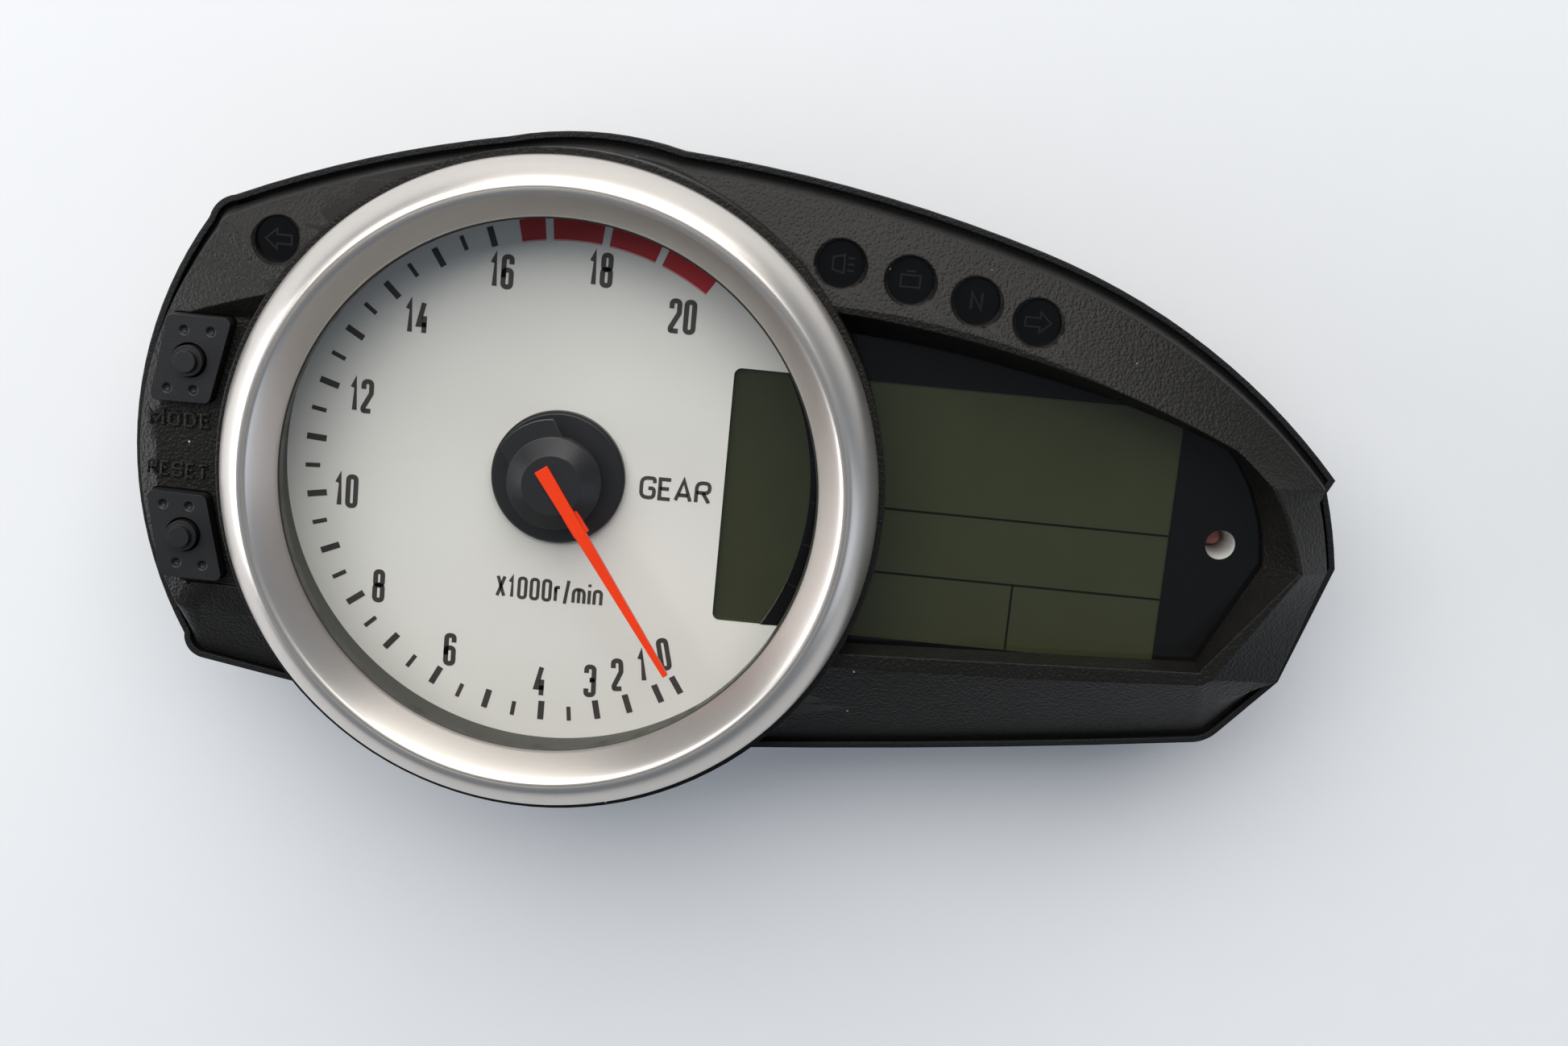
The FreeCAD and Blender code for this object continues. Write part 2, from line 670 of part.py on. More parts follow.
def lamp_pieces(skin):
    """Lenses and lamps of the five holes, and the tube and lamp right of the display."""
    pieces = []
    for i, (x, y) in enumerate(LAMP_HOLES, start=1):
        top = face_height(skin, x, y) - size("hole_depth")
        pieces.append(cylinder(f"indicator_lens_{i}", "hole_radius - 0.05", top - 1.5, top, x, y))
        pieces.append(fuse(f"indicator_led_{i}", [
            block(f"led_base_{i}", (x - 1.6, y - 1.4, "board_top"), (x + 1.6, y + 1.4, "board_top + 0.9")),
            cylinder(f"led_dome_{i}", 1.1, "board_top + 0.9", "board_top + 1.9", x, y)]))
    tube_top = "0 - dial_thick - mask_thick"
    tube = cut("lamp_tube", cylinder("tube_bar", "lamp_radius + 1.0", "board_top", tube_top,
                                     "lamp_x", "lamp_y"),
               [cone("tube_bore", "lamp_radius - 0.7", "lamp_radius", "board_top - 0.01",
                     tube_top + " + 0.01", "lamp_x", "lamp_y")])
    lamp = fuse("lamp_led", [
        cylinder("lamp_base", 1.8, "board_top", "board_top + 1.2", "lamp_x", "lamp_y"),
        cylinder("lamp_dome", 1.2, "board_top + 1.2", "board_top + 3.2", "lamp_x", "lamp_y")])
    return pieces + [tube, lamp]


def pointer_pieces():
    """Shaft, cap with its counterweight wing, and the needle let into the cap."""
    angle = size("needle_angle")
    turn = Rotation(Vector(0, 0, 1), angle)
    shaft = cylinder("pointer_shaft", "shaft_radius", "board_top - board_thick - motor_depth + 1.25",
                     "cap_top - 2.6")

    tip_half = size("needle_narrow") / 2
    tail_half = size("needle_wide") / 2
    blade = prism("needle_blade", [(-size("needle_tail"), -tail_half), (size("needle_tip"), -tip_half),
                                   (size("needle_tip"), tip_half), (-size("needle_tail"), tail_half)],
                  "needle_bottom", "needle_bottom + needle_thick")
    root = block("needle_foot", (2.6, "0 - needle_root_wide / 2", "needle_bottom - needle_root_thick"),
                 ("needle_root", "needle_root_wide / 2", "needle_bottom"))
    needle, slot = [at(fuse(name, [blade, root]), 0, 0, 0, turn) for name in ("needle", "cap_slot")]

    bowl = fuse("cap_bowl", [
        cylinder("cap_bar", "cap_radius", "cap_bottom + 2.6", "cap_rim"),
        cone("cap_taper", "cap_radius", "cap_top_radius", "cap_rim", "cap_top"),
        cylinder("cap_hub", 3.4, "cap_bottom", "cap_bottom + 2.6")])
    wing_bar = block("wing_bar", (0, "0 - wing_width / 2", 0), (20, "wing_width / 2", 12))
    wing = at(common("wing", [
        cylinder("wing_disc", "wing_radius", "cap_rim - wing_thick", "cap_rim"), wing_bar]),
        0, 0, 0, Rotation(Vector(0, 0, 1), angle + 177))
    cap = cut("pointer_cap", fuse("cap_form", [bowl, wing]),
              [cylinder("cap_bore", "shaft_radius", 0, "cap_top - 2.6"), slot])
    return [shaft, cap, needle]


def button_pieces():
    """Rubber pads, the nubs that travel in them, and the switches that they press."""
    pieces = []
    for name, mirrored in BUTTONS:
        x, y = nub_place(mirrored)
        body = pad_prism(name + "_pad_body", mirrored, 0, "pad_bottom", "pad_top")
        flange = pad_prism(name + "_pad_flange", mirrored, -1.0, "pad_bottom - pad_flange",
                           "pad_bottom")
        hole = cylinder(name + "_pad_hole", "nub_radius + nub_gap", -2, 9, x, y)
        side = -1 if mirrored else 1
        dimples = [cone(f"{name}_dimple_{i}", "dimple_radius - 0.5", "dimple_radius + 0.1",
                        "pad_top - 0.6", "pad_top + 0.12", x + dx, y + side * dy)
                   for i, (dx, dy) in enumerate(DIMPLES)]
        pieces.append(cut(name + "_pad", fuse(name + "_pad_form", [body, flange]),
                          [hole] + dimples))
        pieces.append(fuse(name + "_button", [
            cylinder(name + "_nub", "nub_radius", "pad_bottom", "nub_step", x, y),
            cone(name + "_nub_tip", "nub_tip_radius + 0.15", "nub_tip_radius", "nub_step",
                 "nub_top", x, y),
            cylinder(name + "_stem", "stem_radius", "stem_bottom", "pad_bottom", x, y)]))
        pieces.append(cylinder(name + "_plunger", "plunger_radius", "board_top + 1.2",
                               "stem_bottom", x, y))
        half = size("switch_side") / 2
        pieces.append(cut(name + "_switch", block(name + "_switch_body", (x - half, y - half, "board_top"),
                                                  (x + half, y + half, "board_top + switch_height")),
                          [cylinder(name + "_switch_bore", "plunger_radius + 0.05",
                                    "board_top + 0.3", 0, x, y)]))
    return pieces


def electronics():
    """Circuit board, the pointer's motor, and the connector header with its pins."""
    board_low = "board_top - board_thick"
    blank = prism("board_blank", pan_outline(size("board_inset")), board_low, "board_top", PLAIN_BOWS)
    tools = [cylinder("board_shaft_hole", 2.0, -20, 0)]
    tools += [cylinder(f"board_notch_{i}", "well_radius + 0.6", -20, 0, x, y)
              for i, (x, y) in enumerate(SCREW_PLACES)]
    tools += [cylinder(f"board_hole_{i}", "screw_radius + 0.2", -20, 0, x, y)
              for i, (x, y) in enumerate(BOARD_SCREW_PLACES)]
    rows = [("header_y - pin_pitch / 2", "low"), ("header_y + pin_pitch / 2", "high")]
    pins = []
    half = size("pin_side") / 2
    for y, row in rows:
        for i in range(8):
            x = size("header_x") + (i - 3.5) * size("pin_pitch")
            pins.append(block(f"pin_{row}_{i}", (x - half, f"{y} - {half}", "header_floor - 9"),
                              (x + half, f"{y} + {half}", "board_top + 0.8")))
            tools.append(block(f"board_pin_hole_{row}_{i}", (x - half, f"{y} - {half}", -20),
                               (x + half, f"{y} + {half}", 0)))
    board = cut("circuit_board", blank, tools)

    motor_top = board_low
    motor_low = "board_top - board_thick - motor_depth"
    motor = cut("stepper_motor", fuse("motor_form", [
        cylinder("motor_can", "motor_radius", motor_low, motor_top),
        block("motor_ears", (-17.5, -4.0, motor_top + " - 2.0"), (17.5, 4.0, motor_top))]),
        [cylinder("motor_bore", "shaft_radius + shaft_clearance", motor_low + " + 1.2", motor_top)])

    low = [f"header_x - header_length / 2", f"header_y - header_width / 2"]
    high = [f"header_x + header_length / 2", f"header_y + header_width / 2"]
    shell = block("header_shell", (*low, "header_bottom"), (*high, board_low))
    socket = block("header_socket", (low[0] + " + header_wall", low[1] + " + header_wall",
                                     "header_bottom - 1"),
                   (high[0] + " - header_wall", high[1] + " - header_wall", "header_floor"))
    key = block("header_key", ("header_x - 2.2", high[1] + " - header_wall - 1", "header_bottom - 1"),
                ("header_x + 2.2", high[1] + " - 0.6", "header_floor - 4"))
    pin_room = [block(f"header_pin_room_{row}_{i}",
                      (size("header_x") + (i - 3.5) * size("pin_pitch") - half, f"{y} - {half}", -20),
                      (size("header_x") + (i - 3.5) * size("pin_pitch") + half, f"{y} + {half}", -10))
                for y, row in rows for i in range(8)]
    header = cut("connector_header", shell, [socket, key] + pin_room)
    return [board, motor, header, group("connector_pins", pins)]


def screw(name, seat, tip, head_side, x, y):
    """One screw with a cross recess in its round head; head_side is -1 below or 1 above."""
    head_far = f"({seat}) + ({head_side}) * screw_head_thick"
    low, high = (head_far, seat) if head_side < 0 else (seat, head_far)
    shank = (seat, tip) if head_side < 0 else (tip, seat)
    body = fuse(name + "_form", [cylinder(name + "_head", "screw_head", low, high, x, y),
                                 cylinder(name + "_shank", "screw_radius", *shank, x, y)])
    recess = [block(f"{name}_slot_{i}", (x - a, y - b, f"({head_far}) - 1.1"),
                    (x + a, y + b, f"({head_far}) + 1.1"))
              for i, (a, b) in enumerate([(1.7, 0.4), (0.4, 1.7)])]
    return cut(name, body, recess)


def fasteners_and_mounts():
    """Case screws, board screws, rubber dampers with steel sleeves and the breather cap."""
    case_screws = [screw(f"case_screw_{i}", "screw_seat", "screw_tip", -1, x, y)
                   for i, (x, y) in enumerate(SCREW_PLACES)]
    board_screws = [screw(f"board_screw_{i}", "board_top", "board_top - 7", 1, x, y)
                    for i, (x, y) in enumerate(BOARD_SCREW_PLACES)]
    pieces = [group("case_screws", case_screws), group("board_screws", board_screws)]
    for i, (x, y) in enumerate(MOUNT_PLACES, start=1):
        pocket = cylinder(f"cup_pocket_{i}", "mount_pocket", "mount_boss_end - 1",
                          "mount_pocket_top", x, y)
        bar = cylinder(f"cup_bar_{i}", "mount_boss", "mount_boss_end", "back_outside + 2.5", x, y)
        pieces.append(cut(f"mount_cup_{i}", bar, [rear_pan(f"cup_pan_{i}"), pocket]))
        damper = fuse(f"damper_form_{i}", [
            cylinder(f"damper_body_{i}", "mount_pocket", "mount_boss_end", "mount_pocket_top", x, y),
            cylinder(f"damper_flange_{i}", "mount_flange", "mount_flange_end", "mount_boss_end", x, y)])
        bore = cylinder(f"damper_bore_{i}", "sleeve_radius", "mount_end - 1", "mount_pocket_top + 1",
                        x, y)
        pieces.append(cut(f"mount_damper_{i}", damper, [bore]))
        pieces.append(cut(f"mount_collar_{i}",
                          cylinder(f"sleeve_bar_{i}", "sleeve_radius", "mount_end",
                                   "mount_pocket_top", x, y),
                          [cylinder(f"sleeve_bore_{i}", "sleeve_bore", "mount_end - 1",
                                    "mount_pocket_top + 1", x, y)]))
    vent = fuse("vent_cap", [
        cylinder("vent_flange", "vent_radius", "back_outside - vent_thick", "back_outside", -8.0, -30.0),
        cylinder("vent_neck", "vent_radius - 2.5", "back_outside", "back_inside", -8.0, -30.0)])
    return pieces + [vent]


def seals_and_lens():
    """Rev counter lens, its seal, and the band between the two covers."""
    lens = cylinder("tach_lens", "lens_radius", "lens_bottom", "ring_seat")
    seal = cut("lens_seal", cylinder("lens_seal_bar", "lens_radius", "lens_bottom - seal_thick",
                                     "lens_bottom"),
               [cylinder("lens_seal_hole", "barrel_radius + 0.3", 0, 20)])
    return [lens, seal, seal_band("case_seal")]


def check(items):
    """Stop if any object failed or a finished piece has no valid solid."""
    for item in doc.Objects:
        if {"Invalid", "Error"} & set(item.State):
            raise RuntimeError(f"{item.Name} failed: {item.State}")
    for item in items:
        shape = item.Shape
        if shape.isNull() or not shape.isValid() or shape.Volume <= 0:
            raise RuntimeError(f"{item.Name} has no valid solid")


def place(piece):
    """Bind a finished piece's shift from the dial frame to the part's own frame."""
    bound = {prop.lstrip("."): formula for prop, formula in piece.ExpressionEngine}
    for axis in "xyz":
        prop = "Placement.Base." + axis
        piece.setExpression(prop, f"({bound.get(prop, 0)}) + Sizes.dial_{axis}")


def main():
    """Build every piece, place it, check it and write it out."""
    skin = case_skin("cover_outer", 0, 0)
    doc.recompute()
    pieces = [front_cover(skin), rear_cover(), bezel_ring()] + lamp_pieces(skin)
    for family in (dial_pieces, display_pieces, pointer_pieces, button_pieces, electronics,
                   fasteners_and_mounts, seals_and_lens):
        pieces += family()
    for piece in pieces:
        piece.Label = piece.Name
        place(piece)
    doc.recompute()
    check(pieces)
    os.makedirs("parts", exist_ok=True)
    for piece in pieces:
        piece.Shape.exportStep(f"parts/{piece.Label}.step")
        print(piece.Label, len(piece.Shape.Solids), round(piece.Shape.Volume, 1))


main()
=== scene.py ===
"""Looks of a motorcycle instrument cluster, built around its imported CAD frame."""

import logging
import math
from dataclasses import dataclass, field
from enum import Enum
from typing import Iterable, Optional, Sequence, Union

import bmesh
import bpy
from mathutils import Matrix, Vector


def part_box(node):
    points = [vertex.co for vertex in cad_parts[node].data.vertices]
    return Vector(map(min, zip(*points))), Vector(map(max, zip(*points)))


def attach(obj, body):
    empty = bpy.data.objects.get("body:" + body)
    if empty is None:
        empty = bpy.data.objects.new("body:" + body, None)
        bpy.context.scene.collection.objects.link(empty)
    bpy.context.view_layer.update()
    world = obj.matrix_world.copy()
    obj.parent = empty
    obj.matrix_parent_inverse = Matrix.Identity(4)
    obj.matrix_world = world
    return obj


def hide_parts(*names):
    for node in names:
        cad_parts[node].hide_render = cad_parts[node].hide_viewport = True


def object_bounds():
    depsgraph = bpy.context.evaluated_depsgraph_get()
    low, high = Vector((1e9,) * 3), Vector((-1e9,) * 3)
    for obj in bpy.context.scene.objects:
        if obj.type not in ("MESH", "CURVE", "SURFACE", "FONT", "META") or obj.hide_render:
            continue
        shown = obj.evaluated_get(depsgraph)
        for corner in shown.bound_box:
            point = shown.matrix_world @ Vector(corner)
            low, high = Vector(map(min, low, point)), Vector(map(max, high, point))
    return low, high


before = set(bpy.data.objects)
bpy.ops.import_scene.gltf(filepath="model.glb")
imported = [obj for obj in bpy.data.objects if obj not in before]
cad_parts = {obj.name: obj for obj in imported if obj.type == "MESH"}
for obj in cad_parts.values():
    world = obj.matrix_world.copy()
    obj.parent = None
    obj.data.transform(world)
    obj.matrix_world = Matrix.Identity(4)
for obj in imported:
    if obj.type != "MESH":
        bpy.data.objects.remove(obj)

logging.basicConfig(level=logging.INFO, format="%(levelname)s %(message)s")
log = logging.getLogger("cluster")

MM = 0.001
CAD_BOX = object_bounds()
LAMPS = 5
MOUNTS = 3

Point = tuple[float, float]
Triple = tuple[float, float, float]
Number = Union[int, float, "Value"]


@dataclass(frozen=True)
class DialFrame:
    """Centre of the dial in the row frame; drawings below are in millimetres from it."""

    centre: Vector

    @classmethod
    def from_cad(cls) -> "DialFrame":
        """Read the centre off the dial plate."""
        low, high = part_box("dial_plate")
        return cls(Vector(((low.x + high.x) / 2, (low.y + high.y) / 2, high.z)))

    def at(self, x: float, y: float, z: float = 0.0) -> Vector:
        """Row-frame point of a drawing point.

        Args:
            x: millimetres right of the dial's middle.
            y: millimetres up the dial.
            z: millimetres in front of the dial.

        Returns:
            The point in metres.
        """
        return self.centre + Vector((x, y, z)) * MM

    def drawn(self, point: Vector) -> Vector:
        """Drawing point, in millimetres, of a row-frame point."""
        return (point - self.centre) / MM

    def box(self, node: str) -> tuple[Vector, Vector]:
        """Low and high corners of a CAD node at rest, as drawing points."""
        low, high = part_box(node)
        return self.drawn(low), self.drawn(high)


DIAL = DialFrame.from_cad()


# ---------------------------------------------------------------------------
# Node trees
# ---------------------------------------------------------------------------


@dataclass(frozen=True)
class Graph:
    """A node tree that nodes and expressions are added to."""

    tree: bpy.types.NodeTree

    def add(self, kind: str, settings: Optional[dict] = None,
            values: Optional[dict] = None) -> bpy.types.Node:
        """Add one node.

        Args:
            kind: the node's type name.
            settings: properties set first; "stops" holds a ramp's (place, colour) pairs.
            values: numbers, colours or links of its sockets, by name or number.

        Returns:
            The new node.
        """
        node = self.tree.nodes.new(kind)
        for key, value in (settings or {}).items():
            if key == "stops":
                self._stops(node.color_ramp, value)
            else:
                setattr(node, key, value)
        for key, value in (values or {}).items():
            socket = node.inputs[key]
            if isinstance(value, Value):
                value = value.socket
            if isinstance(value, bpy.types.NodeSocket):
                self.tree.links.new(value, socket)
            else:
                socket.default_value = value
        return node

    @staticmethod
    def _stops(ramp: bpy.types.ColorRamp, stops: Sequence[tuple]) -> None:
        """Set the stops of a colour ramp.

        Args:
            ramp: the ramp.
            stops: (place, colour) pairs.
        """
        while len(ramp.elements) < len(stops):
            ramp.elements.new(1.0)
        for element, (place, colour) in zip(ramp.elements, stops):
            element.position = place
            element.color = colour

    def value(self, node: bpy.types.Node, output: Union[int, str] = 0) -> "Value":
        """Wrap one output of a node."""
        return Value(self, node.outputs[output])

    def mix(self, share: Union["Value", float], first: Union[tuple, "Value"],
            second: Union[tuple, "Value"]) -> "Value":
        """Blend two colours.

        Args:
            share: how much of the second colour, 0 to 1.
            first: colour at share 0.
            second: colour at share 1.

        Returns:
            The blended colour.
        """
        node = self.add("ShaderNodeMix", {"data_type": "RGBA"}, {0: share, 6: first, 7: second})
        return self.value(node, 2)

    def vector(self, x: Number, y: Number, z: Number) -> "Value":
        """Put three numbers together as a vector."""
        return self.value(self.add("ShaderNodeCombineXYZ", None, {0: x, 1: y, 2: z}))


@dataclass(frozen=True)
class Value:
    """One socket, with arithmetic written as Python expressions."""

    graph: Graph
    socket: bpy.types.NodeSocket

    def math(self, operation: str, first: Number, second: Number = 0.0) -> "Value":
        """Add one Math node."""
        node = self.graph.add("ShaderNodeMath", {"operation": operation}, {0: first, 1: second})
        return self.graph.value(node)

    def __add__(self, other: Number) -> "Value":
        """Sum."""
        return self.math("ADD", self, other)

    def __radd__(self, other: Number) -> "Value":
        """Sum with a plain number first."""
        return self.math("ADD", other, self)

    def __sub__(self, other: Number) -> "Value":
        """Difference."""
        return self.math("SUBTRACT", self, other)

    def __rsub__(self, other: Number) -> "Value":
        """Difference from a plain number."""
        return self.math("SUBTRACT", other, self)

    def __mul__(self, other: Number) -> "Value":
        """Product."""
        return self.math("MULTIPLY", self, other)

    def __rmul__(self, other: Number) -> "Value":
        """Product with a plain number first."""
        return self.math("MULTIPLY", other, self)

    def __gt__(self, other: Number) -> "Value":
        """1 where this is greater."""
        return self.math("GREATER_THAN", self, other)

    def cos(self) -> "Value":
        """Cosine."""
        return self.math("COSINE", self)

    def sin(self) -> "Value":
        """Sine."""
        return self.math("SINE", self)


# ---------------------------------------------------------------------------
# Finishes
# ---------------------------------------------------------------------------


# Scales are in cells per metre, and the speck's radius is a share of a cell.
CLOUD_SCALE = 95.0
SPECK_SCALE = 330.0
SPECK_PATCH_SCALE = 420.0
SPECK_RADIUS = 0.07
SPECK_COLOUR = (0.45, 0.43, 0.40, 1.0)
SPECK_ROUGHNESS = 0.3
BEVEL_SAMPLES = 6

# Leather grain is pebbles with a finer noise over them: heights of both, and the finer scale.
PEBBLE_HEIGHT = -0.75
FINE_HEIGHT = 0.7
FINE_SCALE = 1.7


class Grain(Enum):
    """Kinds of surface relief."""

    NONE = "none"
    FINE = "fine"
    LEATHER = "leather"


@dataclass(frozen=True)
class Finish:
    """One surface finish, made as a node material on Object coordinates.

    The grain's depth and pitch and the rounding of edges are in millimetres. Mottle is the
    share by which the colour varies, and dust the share of specks that are kept.
    """

    name: str
    slot: str
    colour: Triple
    rough: float = 0.5
    metal: float = 0.0
    coat: float = 0.0
    alpha: float = 1.0
    specular: float = 0.5
    grain: Grain = Grain.NONE
    depth: float = 0.1
    pitch: float = 0.9
    mottle: float = 0.1
    rough_spread: float = 0.06
    dust: float = 0.0
    rounding: float = 0.0

    def material(self) -> bpy.types.Material:
        """Return the material, made on first use."""
        made = bpy.data.materials.get(self.name)
        return made if made else self._build()

    def _build(self) -> bpy.types.Material:
        """Build the node tree.

        Returns:
            The new material.
        """
        material = bpy.data.materials.new(self.name)
        material.use_nodes = True
        material.node_tree.nodes.clear()
        graph = Graph(material.node_tree)
        place = graph.value(graph.add("ShaderNodeTexCoord"), "Object")
        cloud = graph.value(graph.add("ShaderNodeTexNoise", None, {
            "Vector": place, "Scale": CLOUD_SCALE, "Detail": 3.0, "Roughness": 0.6}), 0)
        low = tuple(c * (1 - self.mottle) for c in self.colour) + (1.0,)
        high = tuple(min(1.0, c * (1 + self.mottle)) for c in self.colour) + (1.0,)
        colour = graph.mix(cloud, low, high)
        rough = cloud * (2 * self.rough_spread) + (self.rough - self.rough_spread)
        if self.dust > 0:
            colour, rough = self._dusted(graph, place, colour, rough)
        values = {"Base Color": colour, "Roughness": rough, "Metallic": self.metal,
                  "Coat Weight": self.coat, "Alpha": self.alpha,
                  "Specular IOR Level": self.specular}
        normal = self._relief(graph, place)
        if normal is not None:
            values["Normal"] = normal
        shader = graph.add("ShaderNodeBsdfPrincipled", None, values)
        graph.add("ShaderNodeOutputMaterial", None, {"Surface": shader.outputs[0]})
        if self.alpha < 1.0:
            material.surface_render_method = "BLENDED"
        return material

    def _dusted(self, graph: Graph, place: Value, colour: Value,
                rough: Value) -> tuple[Value, Value]:
        """Scatter small pale specks.

        Args:
            graph: the material's node tree.
            place: Object coordinates.
            colour: colour without dust.
            rough: roughness without dust.

        Returns:
            The colour and the roughness with dust.
        """
        cells = graph.add("ShaderNodeTexVoronoi", None, {"Vector": place, "Scale": SPECK_SCALE})
        near = graph.value(cells, "Distance")
        chosen = graph.value(graph.add("ShaderNodeTexNoise", None, {
            "Vector": place, "Scale": SPECK_PATCH_SCALE, "Detail": 1.0}), 0)
        speck = ((SPECK_RADIUS - near) > 0.0) * (chosen > (1.0 - self.dust))
        return graph.mix(speck, colour, SPECK_COLOUR), rough + speck * SPECK_ROUGHNESS

    def _relief(self, graph: Graph, place: Value) -> Optional[Value]:
        """Make the bump of the surface's grain over its rounded edges.

        Args:
            graph: the material's node tree.
            place: Object coordinates.

        Returns:
            The normal, or None where the surface is plain.
        """
        normal = None
        if self.rounding > 0:
            normal = graph.value(graph.add("ShaderNodeBevel", {"samples": BEVEL_SAMPLES},
                                           {"Radius": self.rounding * MM}))
        if self.grain is Grain.NONE:
            return normal
        scale = 1.0 / (self.pitch * MM)
        if self.grain is Grain.LEATHER:
            cells = graph.value(graph.add("ShaderNodeTexVoronoi", {"feature": "SMOOTH_F1"}, {
                "Vector": place, "Scale": scale, "Smoothness": 0.6}), "Distance")
            fine = graph.value(graph.add("ShaderNodeTexNoise", None, {
                "Vector": place, "Scale": scale * FINE_SCALE, "Detail": 2.0}), 0)
            height = cells * PEBBLE_HEIGHT + fine * FINE_HEIGHT
        else:
            height = graph.value(graph.add("ShaderNodeTexNoise", None, {
                "Vector": place, "Scale": scale, "Detail": 2.0}), 0)
        values = {"Strength": 1.0, "Distance": self.depth * MM, "Height": height}
        if normal is not None:
            values["Normal"] = normal
        return graph.value(graph.add("ShaderNodeBump", None, values))


COVER = Finish("cover_grained_black", "cover_black", (0.0072, 0.0064, 0.0052), rough=0.40,
               specular=0.25, grain=Grain.LEATHER, depth=0.14, pitch=0.6, dust=0.36,
               rounding=0.4)
REAR = Finish("rear_grained_black", "rear_black", (0.0065, 0.0065, 0.007), rough=0.5,
              specular=0.28, grain=Grain.LEATHER, depth=0.10, pitch=0.5, dust=0.3, rounding=0.4)
RING = Finish("ring_satin_silver", "ring_silver", (0.64, 0.60, 0.56), rough=0.33, metal=0.9,
              grain=Grain.FINE, depth=0.005, pitch=0.25, mottle=0.015, rough_spread=0.012)
LENS = Finish("lens_polished_clear", "lens_clear", (0.05, 0.052, 0.05), rough=0.06, alpha=0.03,
              mottle=0.02, rough_spread=0.02)
SEAL = Finish("seal_matte_rubber", "seal_rubber", (0.02, 0.02, 0.02), rough=0.7)
DIAL_WHITE = Finish("dial_printed_white", "dial_white", (0.80, 0.79, 0.74), rough=0.42,
                    mottle=0.015)
INK = Finish("dial_dark_ink", "pointer_black", (0.048, 0.041, 0.037), rough=0.5, mottle=0.3)
INK_RED = Finish("dial_red_ink", "needle_orange", (0.50, 0.012, 0.018), rough=0.45)
INK_PINK = Finish("dial_pink_line", "needle_orange", (0.75, 0.38, 0.36), rough=0.45)
POINTER = Finish("pointer_satin_black", "pointer_black", (0.012, 0.012, 0.014), rough=0.4,
                 grain=Grain.FINE, depth=0.01, pitch=0.2)
MASK = Finish("mask_gloss_black", "mask_black", (0.003, 0.003, 0.0035), rough=0.14,
              specular=0.3)
SLEEVE = Finish("well_gloss_black", "mask_black", (0.022, 0.023, 0.017), rough=0.34,
                specular=0.4)
PANEL = Finish("display_dark_olive", "display_green", (0.035, 0.0395, 0.0165), rough=0.22,
               mottle=0.08)
PANEL_INK = Finish("display_dark_lines", "mask_black", (0.004, 0.005, 0.003), rough=0.5,
                   specular=0.1)
WHITE = Finish("white_moulding", "white_plastic", (0.72, 0.71, 0.68), rough=0.4)
GUIDE = Finish("light_guide_clear", "light_guide", (0.82, 0.86, 0.88), rough=0.15, alpha=0.5)
BOARD = Finish("board_green_lacquer", "board_green", (0.016, 0.10, 0.045), rough=0.3, coat=0.4)
MOTOR = Finish("motor_black_moulding", "motor_black", (0.03, 0.03, 0.03), rough=0.45)
STEEL = Finish("zinc_plated_steel", "steel", (0.62, 0.61, 0.58), rough=0.3, metal=1.0,
               grain=Grain.FINE, depth=0.01, pitch=0.4)
NEEDLE = Finish("needle_bright_orange", "needle_orange", (0.90, 0.045, 0.003), rough=0.4,
                specular=0.3)
PAD = Finish("pad_satin_rubber", "pad_rubber", (0.009, 0.009, 0.010), rough=0.42,
             grain=Grain.FINE, depth=0.03, pitch=0.3, dust=0.3)
LAMP_RED = Finish("lamp_red_clear", "lamp_red", (0.42, 0.10, 0.08), rough=0.25, coat=0.5)
SOCKET = Finish("connector_ivory", "connector_white", (0.68, 0.66, 0.58), rough=0.4)
PIN = Finish("pin_plated_brass", "pin_brass", (0.78, 0.62, 0.32), rough=0.25, metal=1.0)
SMOKED = Finish("lamp_smoked_lens", "lamp_lens", (0.003, 0.003, 0.0035), rough=0.16,
                specular=0.28)
ICON = Finish("lamp_hidden_icon", "lamp_lens", (0.0075, 0.007, 0.0075), rough=0.4,
              specular=0.28)
LED = Finish("led_clear_dome", "led_clear", (0.72, 0.74, 0.70), rough=0.2)
FLOOR = Finish("studio_floor", "", (0.79, 0.80, 0.82), rough=0.7, mottle=0.01)


# ---------------------------------------------------------------------------
# Meshes
# ---------------------------------------------------------------------------


# Angles are in degrees, and the distance is in metres.
SHARP_ANGLE = 32.0
SHARP_ANGLE_ROUNDED = 11.0
FLAT_ANGLE = 0.4
ARC_STEP = 1.5
JOIN_DISTANCE = 2e-6
TINY = 1e-6
EVEN_WEIGHT = 60
BEVEL_SEGMENTS = 2
BEVEL_PROFILE = 0.6
MITRE_LIMIT = 0.45
FILLET_STEPS = 5
FILLET_SHARE = 0.49
SHARPEST_TANGENT = 0.05
LETTER_CORNER = 0.5


def finished(mesh: bpy.types.Mesh, name: str, finish: Finish, body: str,
             stands_for: Iterable[str] = ()) -> bpy.types.Object:
    """Make a mesh a piece of the object.

    Args:
        mesh: the mesh, with its place in its vertices.
        name: the piece's name.
        finish: its surface.
        body: CAD body that it rides on.
        stands_for: CAD nodes that it replaces.

    Returns:
        The new object.
    """
    mesh.materials.clear()
    mesh.materials.append(finish.material())
    piece = bpy.data.objects.new(name, mesh)
    bpy.context.scene.collection.objects.link(piece)
    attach(piece, body)
    for node in stands_for:
        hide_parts(node)
    log.info("piece %s on %s: %d faces", name, body, len(mesh.polygons))
    return piece


def smooth(mesh: bpy.types.Mesh, angle: float) -> None:
    """Shade smooth, with sharp edges kept crisp.

    Args:
        mesh: the mesh.
        angle: edges sharper than this, in degrees, stay crisp.
    """
    for polygon in mesh.polygons:
        polygon.use_smooth = True
    mesh.set_sharp_from_angle(angle=math.radians(angle))


